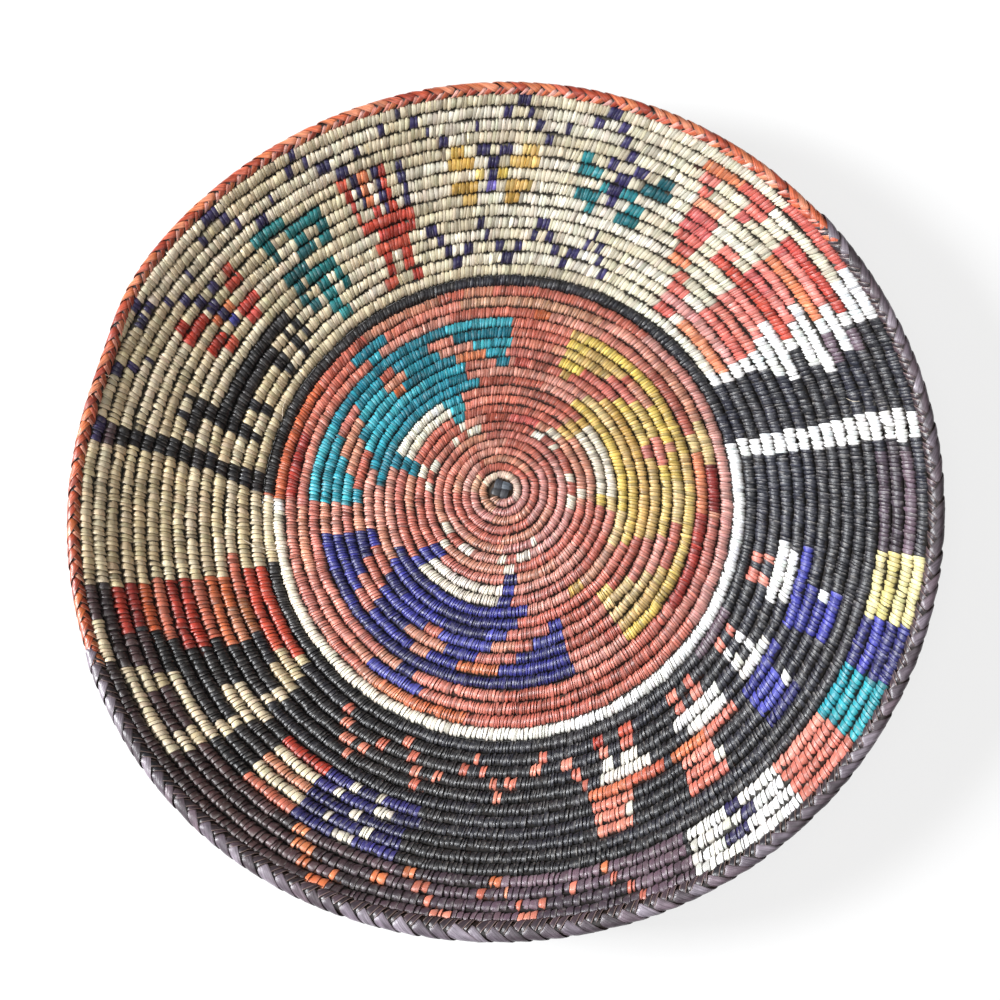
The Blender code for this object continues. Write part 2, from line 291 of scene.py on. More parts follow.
GROUND = """
15..1: cream 0-360; 1: white 61.5-63.5 black 63.5-252.7 plum 118-130; 2: white 61.7-64 black 64-231.3
3: white 61.1-64.5 black 64.5-235 charcoal 102-120; 4: white 61-64.7 black 64.7-240
5: white 61.2-65 black 65-240; 6: white 58.8-67.9 black 67.9-240.4; 7: white 56.8-69.2 black 69.2-242.8
8: white 61.9-64.5 black 64.5-242.7; 9: white 59.5-68.6 black 68.6-243.4
10: white 57.2-70.1 black 70.1-245.8 charcoal 147-157; 11: white 61.3-64.1 black 64.1-248.3 plum 64.1-69.5
12: white 60-68.2 black 68.2-249.2 plum 84-99; 13: white 62.2-64.7 black 64.7-249.2 plum 64.8-68.3 82.8-99
14: white 58-65 black 65-246 plum 84-99; 15: white 56.7-65 black 65-246.3; 15..12: plum 152.6-249
5..2: charcoal 84-96; 7: charcoal 170-188; 13..2: white 78-82.3; 1: white 77.7-81.8; 14: white 78-83
15: white 78.8-82.8; 2: red 231.3-253.2; 3: red 235-253.3; 4: brown 240-248 salmon 248-257.4
5: salmon 240-247 orange 247-253.5; 6: rust 240.4-254.2; 7: salmon 242.8-254.5; 8: red 242.7-254.9
9: crimson 243.4-255.6; 10: coral 245.8-255.7; 11: rust 248.3-255.8; 13: crimson 249.2-256
12: crimson 249.2-256; 14: plum 246-257; 15: cream 246.3-252.9 plum 252.9-257.2
0: black 269.7-78 white 78-268.8
"""

CREAM_FIGURE = """
14: cream 231.5-245.9; 13: cream 230.8-233.8 240.6-244.5; 12: cream 230-233 240-242.4
11: cream 229.5-241.3; 10: cream 228.8-231.2; 9: cream 228.6-230.3; 8: cream 228.2-234.9
7: cream 225.4-233.8; 6: cream 227.5-229.4; 5: cream 226.7-228.9; 4: cream 226.2-233.5; 3: cream 227.3-235
2: cream 229-231.3
"""

BLACK_LINE = """
1: black 270.2-274.9; 2: black 271.5-275.1; 3: black 272.6-275.3; 4: black 273.3-276.8
5: black 274.2-277.4; 6: black 274.7-277.8; 7: black 275.1-278.4; 8: black 275.7-279; 9: black 276.1-279.2
10: black 276.5-279.5; 11: black 276.8-279.7; 12: black 277.2-279.9; 13: plum 277.5-280.2
14: purple 277.5-280.7
"""

BEAST = """
8: black 282.8-284.3 286.5-287.4; 7: black 280.5-287; 6: black 283.8-286.3; 5: black 283-309.9
4: black 282-302.2 305.5-306.8 308.4-310.1
3: black 281.8-284.5 288.2-289.8 298.6-302.2 304.9-306.7 308.2-309.9
2: black 281.5-283.6 287.9-289.9 299.2-301.5 304.7-306.6
"""

UPPER_ZIGZAG = """
14: purple 286.5-289 294.2-296.3 297-298.4 309.7-310.6 313.8-315.1 325.5-326.8 328.4-329.7 341-342.4
14: purple 345.6-347 0-1.4 4-4.8 14-15.7 17.7-19.5
15: purple 296.3-297.6 311.8-314.3 327.3-328.3 344-345.2 2.5-4.2 16-17.6
13: purple 288.1-289.4 292.3-292.8 299.1-299.9 304.5-304.9 315.2-316.2 321.3-322.2 329.9-332.2 336.3-337
13: purple 347.8-348.6 355.6-356.5 5.3-6.3 9.9-11 18.8-20.5
12: purple 290-290.7 300.4-302 317.2-319 332.4-334.3 350-351.3 6.9-8 20.3-22
11: purple 301.1-302.8 304.5-306.1
"""

RED_BUTTERFLY = """
11: red 296-298.4 308.2-309.7; 10: red 295-300.7 306.1-309.7 purple 302-303.6
9: orange 300.3-301.7 303.4-305.1 purple 302-303.2; 8: red 295-300.3 304.5-308.7 violet 301.8-303.2
7: red 297.3-300.1 304.3-306.5
"""

TEAL_STEPS = """
11: teal 314.8-320.8; 10: teal 315-316.9 320-326.8; 9: teal 315-316.9 319.9-322.4 324.6-327
8: teal 319-322.6 324.2-326.3; 7: teal 313.6-319; 6: teal 313.8-315.9 317.6-324.5
5: teal 313.8-315.9 317.7-320.9 322.4-324.2; 4: teal 313.8-315.9 317.4-320.7 322.5-324.5
3: teal 316.9-320.3; 2: teal 317.2-320.5
"""

HAND = """
11..9: red 331.6-333 purple 334-335 orange 335-336.8 purple 337.4-338.5 red 338.6-339.8
11..10: purple 341.5-343; 9: purple 341.6-342.7
8: red 331.8-333 335-336.5 purple 337.4-338.2 red 338.6-339.8 purple 341.5-342.4; 7: red 332-342.2
6: red 334.5-341.8; 5: red 332.7-339.5; 4: red 332.7-334.5 337-339.5; 3: red 333-334.4 337-339.5
2: red 331-333.9 337.6-340.4
"""

OCHRE_BUTTERFLY = """
11: ochre 351.6-353.6 purple 355.8-357.8 359.5-1.7 yellow 3.8-6.3
10: ochre 350.7-355.5 purple 357.4-359.2 ochre 1.3-6.5
9: yellow 355.4-356.8 purple 357.4-359 yellow 359.2-1.1
8: ochre 350.3-355.5 lilac 357-358.6 ochre 0.5-5.9; 7: ochre 352-355.3 0.4-3.4
"""

TEAL_BUTTERFLY = """
11: teal 13.5-15.6 purple 17.9-19.4 22.4-24.5 teal 26.6-29.5
10: teal 13.4-18 purple 19.7-22.3 teal 24.7-29.7; 9: teal 18-19.5 purple 19.5-21.8 teal 22-24.5
8: teal 13.6-18 purple 19.7-21.5 teal 23.8-27.4; 7: teal 16-17.8 22.5-26.7
"""

LOWER_CHAIN = """
5: purple 343.6-345.8 355.2-356.3 7.5-9.7 19.5-20.5
4: purple 345.1-346.7 353.9-354.7 356.1-357.1 6.5-7.7 10-11.3 18.6-19.7 21-22.2
3: purple 346.5-348 351.3-352.8 358.2-360 3-4.7 11.5-13.3 15.7-17.4 21.8-23.6
2: purple 348-350.5 0-2.8 14-15.6 23.5-25.7
"""

HILL = """
15: brick 45-56.7; 14: apricot 32-38 brick 38-44.2; 13: brick 32.3-35.5 40.4-43.8 red 48.2-62.2
12: brick 33.2-35.3 40.4-42.4 48.6-60; 11: apricot 33.6-38.6 48.5-61.3; 10: brick 33.5-39.2 48-57.2
9: brick 33.6-39.3 42.1-45.5 48-59.5; 8: brick 34.2-39.3 red 41.8-61.9; 7: brick 35.7-39.2 48.4-56.8
6: apricot 35.9-39.3 brick 48.7-58.8; 5: salmon 38.6-41.3 48.6-61.2; 4: brick 38.7-43.2 47.8-61
3: pink 39.5-61.1; 2: brick 39.7-44.3 apricot 46.5-61.7
"""

RIM_BAND = """
15..12: pale_yellow 99-108.8 violet 108.8-116.9 turquoise 116.9-125.3 coral 125.3-135.8
15: white 135.8-153.2; 14: white 135.8-152.8 purple 143.5-147.5
13: white 135.8-152.4 purple 141-143.5 144.5-145; 12: white 135.8-152 purple 143-145
"""

FOWL = """
9: violet 107.5-115 123.2-131 coral 140.2-148 158.3-164.5
8: violet 109-115 white 107.5-109 violet 124.3-131 white 122.4-124.2 coral 141.5-147.3 white 139.8-141.5
8: coral 159.7-164.3 white 157.3-159.7; 7: violet 107-115.3 123-130.3 coral 140-147.3 156.5-164.3
6: violet 101-115.3 118.7-130 coral 132.5-140 orange 140-147.6 rust 149.5-164.2
5: white 101.5-111.4 119-128.6 133.3-142.9 151.3-161.5
4: white 100.5-112.2 120.8-122.5 125-127.2 132.4-144.5 152.7-156.1 157.7-160.3
3: coral 103.3-104.9 107.4-109.5 white 121.2-122.3 125.4-126.8 coral 135-137.3 139.5-141.8 152.2-155
3: coral 157.7-160.1
2: coral 103.5-105.7 107.5-109.6 120.8-122 125-126.7 134.7-136.8 139.6-141.7 red 151.7-154.2 157.7-160.2
"""

OUTER_ZIGZAG = """
15: coral 160.4-162.2 175.9-177.9 187.9-190.5 orange 204.9-207.3
14: coral 161.2-162.3 174.7-175.2 177.2-178.1 186.5-187.4 190.4-191.5 orange 203.3-204.5 207.5-209.1
13: coral 163.2-164.2 169.5-170.6 peach 179.1-179.9 coral 183-184.5 191.3-192.8 orange 197.4-199.2
13: orange 207.6-210.8; 12: orange 164.6-166.3 180.8-182.6 192.8-195 209.7-211.9
"""

INNER_ZIGZAG = """
5: coral 164-165.1 180.3-182 196-197.5 210-211.5
4: coral 165.1-166.1 177.4-180 181.6-182.8 192.4-193.8 196.8-198 207.5-209.3 211.4-213.3
3: coral 165.3-168.8 172.7-174.2 183-184.3 187.3-189 198.2-199.7 204.2-206.5 213-214.7
2: coral 170.2-172 184.8-186.2 199.8-201.7 214.2-216.5
"""

DOTTED_FIELD = """
11: indigo 196.8-213.4 white 203.7-207.1 salmon 213.4-222.2
10: indigo 196-213 white 200.8-202.6 208-209 cream 213-222
9: indigo 196-212.8 white 204.1-206 salmon 212.8-222
8: indigo 194.3-212.7 white 199.3-202 207.7-209.3 cream 212.7-221.8
7: indigo 194.8-212.3 white 201-202.6 205.5-207.6 red 212.2-221
"""

BASE_GROUND = """
-1..-21: salmon 0-360
-1: rust 268-300 pink 43-76.5 76.5-125 coral 125-189.5 orange 189.5-214 salmon 214-268
-2: crimson 268-286.7 salmon 286.7-294 coral 294-309.5 322.9-347.6 tan 347.6-30 crimson 83.2-95.5 coral
-2: coral 178-202.3
-3: coral 296.5-313.8 orange 10.5-15 79-96.5 crimson 96.5-124.7 coral 124.7-170 180-205.7
-4: coral 3.5-24 salmon 139.7-158.4; -5: coral 3.7-24 orange 182-195; -6: coral 3.7-20
-7: orange 311.7-316.7 341-352.7; -8: brick 5-12; -9: coral 113.6-173; -10: tan 116.5-139.5
-13: coral 289-324; -14: brick 5-27 coral 100-168; -16: pink 60-180; -18: pink 60-140; -12: coral 340-40
-17: coral 180-330; -19: pink 200-320; -15: pink 104-156; -20: coral 330-60 pink 60-200 tan 200-300
-21: blush 290-120 pink 120-200 tan 200-290
"""

BASE_TEAL = """
-2: sea 310.2-322.9; -3: sea 313.8-318.2 267.2-268; -4: sea 266.5-268 268-3.5
-5: sea 266-268 268-288.8 300.2-312.4 317.6-332.2 342.4-3.7
-6: sea 265.5-268 268-281.9 296.7-310.3 320.7-335.1 348.6-3.7
-7: sea 265-268 268-276.5 290.3-311.7 316.7-340 353-2.6; -8: sea 268-270.3 286.5-343.5 357-2.8
-9: sea 280-343.2; -10: sea 273.4-348.6; -11: sea 281.7-289.5 ivory 289.5-326 sea 326-336
-12: sea 282-289.4 ivory 289.4-325.9 sea 325.9-335.7; -13: sea 280-288.6 324.5-333.8
-14: ivory 280-288 325.8-330.4; -15: ivory 268.6-276 285.4-293.4 313-318.8 328-340.3
"""

BASE_YELLOW = """
-2: yellow 70.5-83.2; -3: yellow 73-79; -4: yellow 24-139.7
-5: yellow 24-46.8 60.4-73.8 77-100.7 115.3-139.3
-6: yellow 24-43 brick 43-56 yellow 56-70.1 coral 70.1-80.4 yellow 80.4-105.7 118.8-139
-7: yellow 24.5-34.5 brick 34.5-52 yellow 52-72.3 77-108 124.8-138.6
-8: ochre 26-30 48.8-109.7 yellow 131.5-138; -9: yellow 41.8-113.6
-10: yellow 37.6-116.5 ochre 139.5-146.5; -11: ochre 46.5-53 ivory 53-93.4 yellow 93.4-99.9
-12: ochre 43-52.4 ivory 52.4-91.5 yellow 91.5-98.5; -13: ochre 41.5-51.5 tan 88-95.5
-14: ivory 36-47.4 88.5-95.7; -15: ivory 26.5-36.8 46-51.4 76.4-83.4 93.8-103.6
"""

BASE_VIOLET = """
-2: violet 202.3-217.8; -3: violet 205.7-211; -4: violet 158.4-256.3
-5: violet 158.2-182 195-205 210.7-227.2 235.5-255.7; -6: violet 157.6-175.6 189.7-199.9 215-229 240-254.8
-7: violet 157-169 183.8-204.2 209.3-231.7 243.5-254.2; -8: violet 156.1-161.5 178-234.2 247.2-253.8
-9: violet 173-237.6; -10: violet 167.8-242.6
-11: violet 176.5-181.7 ivory 181.7-227.5 violet 227.5-232.7
-12: violet 173.4-179.7 ivory 179.7-225.2 violet 225.2-234.7; -13: violet 171.8-178.6 223-232.7
-14: ivory 170.4-178.3 224.5-231; -15: ivory 156.8-168 178-183.5 207-218 231.5-241.5; -16: ivory 146-152
"""

PATTERNS = [
    GROUND, CREAM_FIGURE, BLACK_LINE, BEAST, UPPER_ZIGZAG, RED_BUTTERFLY, TEAL_STEPS, HAND,
    OCHRE_BUTTERFLY, TEAL_BUTTERFLY, LOWER_CHAIN, HILL, RIM_BAND, FOWL, OUTER_ZIGZAG, INNER_ZIGZAG,
    DOTTED_FIELD, BASE_GROUND, BASE_TEAL, BASE_YELLOW, BASE_VIOLET,
]


def rows_named(text):
    """The rows that a pattern line is for: one, or all from one to another."""
    ends = [int(part) for part in text.split("..")]
    return range(min(ends), max(ends) + 1)


def read_patterns():
    """For each row, its spans of dye in the order that they are painted."""
    rows = {}
    for entry in ";".join(PATTERNS).replace("\n", ";").split(";"):
        head, _, words = entry.partition(":")
        for word in words.split():
            if word in DYES:
                dye = word
                continue
            first, last = word.split("-")
            for row in rows_named(head):
                rows.setdefault(row, []).append((float(first), float(last), dye))
    return rows


SPANS = read_patterns()


def dye_at(row, bearing):
    """The dye of a wrap."""
    for first, last, dye in reversed(SPANS.get(row, [])):
        reached = first <= bearing < last if first <= last else bearing >= first or bearing < last
        if reached:
            return dye
    return "salmon"


def row_and_bearing(bearing_turn):
    """The row of the pattern and the bearing in it."""
    return math.floor(bearing_turn - BASE_TURNS), bearing_of(bearing_turn)


# Laying the wraps. Their widths are in millimetres, and a lot says how red, green and blue differ

WRAP_WIDTHS = {"cream": 1.80, "white": 1.65, "black": 1.55, "charcoal": 1.60, "plum": 1.85, "purple": 1.75}
BASE_WRAP_WIDTH = 1.38
WALL_WRAP_WIDTH = 1.68
NARROWEST_ON_BASE = 0.7
NARROWEST_ON_WALL = 1.0
WIDEST = 4.2
NARROWER_AT_START = 0.20
NARROWER_TURNS = 15
WIDTH_NOISE = 0.26
SHORTEST_REST = 0.0006
DYE_TOLD_AHEAD = 0.0008
BARE_END_TURNS = 0.014
WRAPS_PER_STRIP = (9, 32)
TINT_NOISE_ON_BASE = 0.21
TINT_NOISE_ON_WALL = 0.16
CHANNEL_NOISE = 0.02
TINT_RANGE = (0.55, 1.42)
COLOUR_RANGE = (0.004, 0.92)
# Painted light on the wall: how much darker and browner the shaded side is drawn, and how much paler and
# cooler the lit side.
WALL_SHADE_AND_LIGHT = np.array([0.10, 0.17, 0.29])
SHADED_SIDE_BEARING = 250
PLUM_LOTS = [(178, np.array([0.30, 0.32, 0.46])), (228, np.array([-0.48, -0.60, -0.63]))]
PLUM_LOT_WIDTH = 24
BASE_LOT = np.array([0.09, 0.11, 0.09])
BASE_LOT_BEARING = 330


# Where wraps are wider than plain: a bearing, the spread to both sides of it, how much wider, and the
# turns between which that grows

WIDER_PLACES = [
    (195, 45, 0.28, 27, 31), (195, 45, 0.42, 32, 35), (270, 40, 0.26, 22, 26), (138, 30, 0.30, 22, 26),
]


def more_at(places, turn, bearing):
    """How much more of something there is at a turn and a bearing."""
    return sum(more * bell(bearing, middle, spread) * ramp(turn, first, last)
               for middle, spread, more, first, last in places)


def wrap_width(dye, turn, bearing):
    """The width of a leaf strip: narrower near the start, and wider on parts of the wall."""
    plain = BASE_WRAP_WIDTH if turn < BASE_TURNS else WALL_WRAP_WIDTH
    near_start = 1 - NARROWER_AT_START * ramp(-turn, -NARROWER_TURNS, 0)
    return WRAP_WIDTHS.get(dye, plain) * near_start * (1 + more_at(WIDER_PLACES, turn, bearing))


def lot_and_light(dye, turn, bearing):
    """How the colour changes round the tray: painted shade, darker and browner, on the wall's left, and
    painted light, paler and cooler, on its right.
    """
    if turn < BASE_TURNS:
        return 1 - BASE_LOT * (1 - math.cos(math.radians(bearing - BASE_LOT_BEARING)))
    # Painted shade toward the shaded bearing, and painted light on the side opposite it.
    lot = 1 - WALL_SHADE_AND_LIGHT * math.cos(math.radians(bearing - SHADED_SIDE_BEARING))
    if dye == "plum":
        for middle, change in PLUM_LOTS:
            lot = lot * (1 + change * bell(bearing, middle, PLUM_LOT_WIDTH))
    return lot


def lay_wraps():
    """Every wrap from start to end: place, width, turn, turn told by bearing and three colour channels."""
    wraps = []
    place = 0.0
    end = sample(CORD_TURNS, coil.turn, coil.length)
    dye_before, left_in_strip, tint = None, 0, None
    while place < end - SHORTEST_REST:
        turn = sample(place, coil.length, coil.turn)
        told = sample(place + DYE_TOLD_AHEAD, coil.length, coil.bearing_turn)
        row, bearing = row_and_bearing(told)
        on_base = turn < BASE_TURNS
        dye = "brown" if turn > CORD_TURNS - BARE_END_TURNS else dye_at(row, bearing)
        if dye != dye_before or left_in_strip <= 0:
            tint = TINTS[dye][random.integers(len(TINTS[dye]))]
            left_in_strip = random.integers(*WRAPS_PER_STRIP)
            dye_before = dye
        left_in_strip -= 1
        width = wrap_width(dye, turn, bearing) * (1 + WIDTH_NOISE * random.standard_normal())
        width = np.clip(width, NARROWEST_ON_BASE if on_base else NARROWEST_ON_WALL, WIDEST) / 1000
        width = min(width, end - place)
        uneven = TINT_NOISE_ON_BASE if on_base else TINT_NOISE_ON_WALL
        colour = tint * np.clip(1 + uneven * random.standard_normal(), *TINT_RANGE)
        colour = colour * (1 + CHANNEL_NOISE * random.standard_normal(3)) * lot_and_light(dye, turn, bearing)
        wraps.append((place, width, turn, told, *np.clip(colour, *COLOUR_RANGE)))
        place += width
    return np.array(wraps)


# The shape of a sewn row. A wrap has five rings, and then the next wrap's first ring closes it

PARTS_OF_WRAP = np.array([0.0, 0.08, 0.38, 0.74, 0.93])
PILLOW_TOP = np.array([0.0, 0.80, 0.95, 1.08, 1.02])
# Where on a wrap the pale rubbing and painted highlight lie.
RUB_AND_HIGHLIGHT_TOP = np.array([0, 0, 0, 0.35, 1])
RINGS = len(PARTS_OF_WRAP)
AROUND = 14
SQUARENESS = 2.25
ROW_WANDER = 0.00050
ROW_SWELL = 0.08
SLOW_WRAPS = 15
LEAN = 10
LEAN_AT_START = 4
LEAN_FADE_TURNS = (7, 12)
LEAN_PLACES = [(135, 35, 12, 18, 23), (50, 30, 8, 22, 26)]
LEAN_NOISE = 5
HEIGHT_NOISE = 0.030
LUMP_NOISE = 0.022
TIP_TILT = 0.10
REACH_NOISE = 0.095
DEEP_NOTCHES = 0.30
DEEP_CREASE = 2.7
SHALLOW_CREASE = 0.75
CREASE_ON_BASE = 0.075
CREASE_ON_WALL = 0.045
EDGE_NOTCH_ON_BASE = 0.18
EDGE_NOTCH_ON_WALL = 0.10
SIDE_FALL = 0.17
DEEP_SIDE_FALL = 0.16
HIGHEST_CROSS = 0.18
FULL_NOTCH_WIDTH = 0.002
ROW_SPAN = 1.065
ROW_HEIGHT = 0.97
LIT_TIPS_BEARING = 115
BAKE_MARGIN = 0.01
FOLD_MARGIN = 0.03


def slant_of(turn, bearing):
    """How far the wraps lean from straight across the row, in degrees."""
    near_start = LEAN_AT_START * (1 - ramp(turn, *LEAN_FADE_TURNS))
    return LEAN + near_start + more_at(LEAN_PLACES, turn, bearing)


def slow_noise(count):
    """Random numbers that change slowly from wrap to wrap."""
    window = np.hanning(SLOW_WRAPS)
    return np.convolve(random.standard_normal(count + SLOW_WRAPS - 1), window / window.sum(), "valid")


def rounded(values):
    """A sine or cosine pressed toward a square section."""
    return np.sign(values) * np.abs(values) ** (2 / SQUARENESS)


class SewnRow:
    """The rings of one closed length of the sewn cord, with every wrap a low pillow of leaf."""

    def __init__(self, wraps):
        self.starts, self.widths, self.turns, told = wraps.T[:4]
        self.colours = wraps[:, 4:]
        self.bearings = bearing_of(told)
        self.count = len(wraps)
        self.columns = self.count * RINGS + 1
        self.owner = np.minimum(np.arange(self.columns) // RINGS, self.count - 1)
        rings = self.starts[:, None] + self.widths[:, None] * PARTS_OF_WRAP
        self.distance = np.append(rings, self.starts[-1] + self.widths[-1])
        self.pillow = np.append(np.tile(PILLOW_TOP, self.count), 0)[:, None]
        self.shape()

    def between_wraps(self, values):
        """A value of each wrap, passing evenly from one to the next."""
        return np.interp(self.distance, self.starts + self.widths / 2, values)

    def shape(self):
        """The points of the rings, and how much painted shade darkens each in the notches and row borders.
        """
        distance, count, owner = self.distance, self.count, self.owner
        along, out, up = coil.directions(distance)
        full = sample(distance, coil.length, coil.fullness)
        centre = sample(distance, coil.length, coil.place)
        centre += out * (ROW_WANDER * self.between_wraps(slow_noise(count)))[:, None]
        half_width = sample(distance, coil.length, coil.half_width)
        half_width *= 1 + ROW_SWELL * self.between_wraps(slow_noise(count))
        slant = slant_of(self.turns, self.bearings) + LEAN_NOISE * random.standard_normal(count)
        lean = self.between_wraps(np.tan(np.radians(slant)))
        lumps = np.convolve(random.standard_normal(count + 2), [0.6, 0.6, 0.6], "valid")
        tall = 1 + HEIGHT_NOISE * random.standard_normal(count) + LUMP_NOISE * lumps
        tall = np.clip(tall, 0.88, 1.09)[owner]
        reach = np.clip(1 + REACH_NOISE * random.standard_normal((2, count)), 0.82, 1.20)[:, owner, None]
        cross = (distance - self.starts[owner]) / self.widths[owner] - 0.5
        tip = (TIP_TILT * (1 + random.standard_normal(count)))[owner] * cross
        deep = (random.random(count) < DEEP_NOTCHES)[owner][:, None]

        phi = 2 * np.pi * np.arange(AROUND) / AROUND
        wide, high = rounded(np.cos(phi))[None, :], rounded(np.sin(phi))[None, :]
        border = np.abs(np.cos(phi))[None, :] ** 1.5
        on_base = (self.turns < BASE_TURNS)[owner][:, None]
        crease = np.where(on_base, CREASE_ON_BASE, CREASE_ON_WALL)
        crease = crease * np.where(deep, DEEP_CREASE, SHALLOW_CREASE)
        edge_notch = np.where(on_base, EDGE_NOTCH_ON_BASE, EDGE_NOTCH_ON_WALL) * (1 + deep)
        width_share = np.clip(self.widths[owner] / FULL_NOTCH_WIDTH, 0.6, 1.2)[:, None]
        radial = 1 - (crease + edge_notch * border) * width_share * (1 - self.pillow)
        tooth = np.abs(cross[:, None] - HIGHEST_CROSS) / (0.5 + HIGHEST_CROSS)
        radial -= (SIDE_FALL + DEEP_SIDE_FALL * deep) * border ** 1.3 * tooth ** 1.1 * width_share

        side_reach = np.where(wide > 0, reach[0], reach[1])
        x = wide * radial * (half_width * ROW_SPAN * full)[:, None] * side_reach
        z = high * radial * (half_width * ROW_HEIGHT * full * (tall + tip))[:, None]
        shift = -wide * (lean * half_width)[:, None]
        points = centre[:, None] + out[:, None] * x[..., None] + up[:, None] * z[..., None]
        points += along[:, None] * shift[..., None]
        points[..., 2] = np.maximum(points[..., 2], 0)
        self.points, self.half_width = points, half_width

        # Painted shade: how dark the leaf is drawn in the notches between wraps and along the borders
        # between rows.
        notch_shade = np.clip(1 - self.pillow, 0, 1) + ramp(border, 0.50, 1) * (0.70 + 1.4 * cross[:, None] ** 2)
        self.notch = np.clip(notch_shade, 0, 1) ** (0.6 if self.turns[0] < BASE_TURNS else 1)

    def edge_rub_and_highlight(self):
        """How much the far edge of each wrap is drawn pale, as rubbing and as painted highlight, most on
        the right of the wall where the light falls.
        """
        paler = 1 + 0.9 * bell(self.bearings, LIT_TIPS_BEARING, 65) * (self.turns > BASE_TURNS)
        return np.repeat(np.append(paler[:, None] * RUB_AND_HIGHLIGHT_TOP, 0), AROUND)


# Meshes

def put(mesh, name, kind, domain, values):
    """Values kept on the mesh under a name, for each of its points, edges or faces."""
    field = "vector" if kind == "FLOAT_VECTOR" else "value"
    flat = np.asarray(values, bool if kind == "BOOLEAN" else np.float32).ravel()
    mesh.attributes.new(name, kind, domain).data.foreach_set(field, flat)


def put_map(mesh, name, values):
    """A place on a flat map for each corner of each face."""
    mesh.uv_layers.new(name=name).data.foreach_set("uv", np.asarray(values, np.float32).ravel())


def put_boxes(mesh, name, left, right, low, high):
    """A map with a box for each four-sided face of a row and nothing for its two caps."""
    boxes = np.stack([left, low, right, low, right, high, left, high], axis=1)
    put_map(mesh, name, np.append(boxes, np.zeros(4 * AROUND)))


def link_piece(name, mesh, material):
    """A piece of the tray from a mesh."""
    mesh.materials.append(material)
    piece = bpy.data.objects.new(name, mesh)
    bpy.context.scene.collection.objects.link(piece)
    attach(piece, "root")
    return piece


def tube_faces(columns, around):
    """The four-sided faces of a tube of rings, and its two caps."""
    first = np.arange(columns - 1)[:, None] * around
    here = np.arange(around)[None, :]
    there = (here + 1) % around
    quads = np.stack([first + here, first + around + here, first + around + there, first + there], axis=-1)
    return quads.reshape(-1, 4), [np.arange(around), columns * around - 1 - np.arange(around)]


def closed_tube(name, points, material):
    """A piece from rings of points, with caps on both ends."""
    columns, around = points.shape[:2]
    quads, caps = tube_faces(columns, around)
    loops = np.concatenate([quads.ravel(), *caps])
    begins = np.append(4 * np.arange(len(quads) + 1), 4 * len(quads) + around)
    mesh = bpy.data.meshes.new(name)
    mesh.vertices.add(columns * around)
    mesh.vertices.foreach_set("co", points.ravel())
    mesh.loops.add(len(loops))
    mesh.loops.foreach_set("vertex_index", loops.astype(np.int32))
    mesh.polygons.add(len(begins))
    mesh.polygons.foreach_set("loop_start", begins.astype(np.int32))
    mesh.update(calc_edges=True)
    mesh.validate()
    mesh.shade_smooth()
    return link_piece(name, mesh, material)


def sharpen_notches(mesh):
    """Marks the rings where a wrap begins and ends as sharp."""
    ends = np.empty(len(mesh.edges) * 2, np.int32)
    mesh.edges.foreach_get("vertices", ends)
    first, last = (ends.reshape(-1, 2) // AROUND).T
    put(mesh, "sharp_edge", "BOOLEAN", "EDGE", (first == last) & np.isin(first % RINGS, (0, RINGS - 1)))


def inside(margin, share):
    """A share from 0 to 1 kept off both ends by a margin."""
    return margin + (1 - 2 * margin) * share


def lay_maps(mesh, row):
    """Millimetres along and round the row for the grain, and the row folded into lengths for baking."""
    around_mm = row.half_width.mean() * 2 * np.pi / AROUND * 1000
    along_mm = row.distance * 1000
    column = np.repeat(np.arange(row.columns - 1), AROUND)
    low = np.tile(np.arange(AROUND), row.columns - 1)
    left, right = along_mm[column], along_mm[column + 1]
    put_boxes(mesh, "leaf_grain", left, right, low * around_mm, (low + 1) * around_mm)
    folds = max(1, round(math.sqrt((along_mm[-1] - along_mm[0]) / (around_mm * AROUND))))
    per_fold = math.ceil((row.columns - 1) / folds)
    fold, place = np.divmod(column, per_fold)
    left, right = (inside(BAKE_MARGIN, (place + k) / per_fold) for k in (0, 1))
    under, over = ((fold + inside(FOLD_MARGIN, (low + k) / AROUND)) / folds for k in (0, 1))
    put_boxes(mesh, "OFBake", left, right, under, over)


def make_row(name, wraps, node, material):
    """A closed length of the sewn cord."""
    row = SewnRow(wraps)
    piece = closed_tube(name, row.points, material)
    mesh = piece.data
    face_owner = np.repeat(row.owner[:-1], AROUND)
    put(mesh, "tint", "FLOAT_VECTOR", "FACE", np.append(row.colours[face_owner], row.colours[[0, -1]]))
    put(mesh, "notch", "FLOAT", "POINT", row.notch)
    put(mesh, "ridge", "FLOAT", "POINT", row.edge_rub_and_highlight())
    lay_maps(mesh, row)
    sharpen_notches(mesh)
    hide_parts(node)


# Materials

def node_material(name):
    """A new material with its node tree and its shader."""
    material = bpy.data.materials.new(name)
    material.use_nodes = True
    tree = material.node_tree
    return material, tree, tree.nodes["Principled BSDF"]


def add(tree, kind, **inputs):
    """A node of a kind, with values set on its named inputs."""
    node = tree.nodes.new(kind)
    for key, value in inputs.items():
        node.inputs[key.replace("_", " ")].default_value = value
    return node


def feed(tree, value, socket):
    """Gives a socket another node's output or a plain value."""
    if hasattr(value, "links"):
        tree.links.new(value, socket)
    else:
        socket.default_value = value


def kept(tree, name, output="Fac"):
    """What the mesh keeps under a name."""
    node = tree.nodes.new("ShaderNodeAttribute")
    node.attribute_name = name
    return node.outputs[output]


def mix_colour(tree, blend, amount, first, second):
    """A colour mix. Amount, first and second are sockets or values."""
    node = tree.nodes.new("ShaderNodeMix")
    node.data_type = "RGBA"
    node.blend_type = blend
    for socket, value in ((0, amount), (6, first), (7, second)):
        feed(tree, value, node.inputs[socket])
    return node.outputs[2]


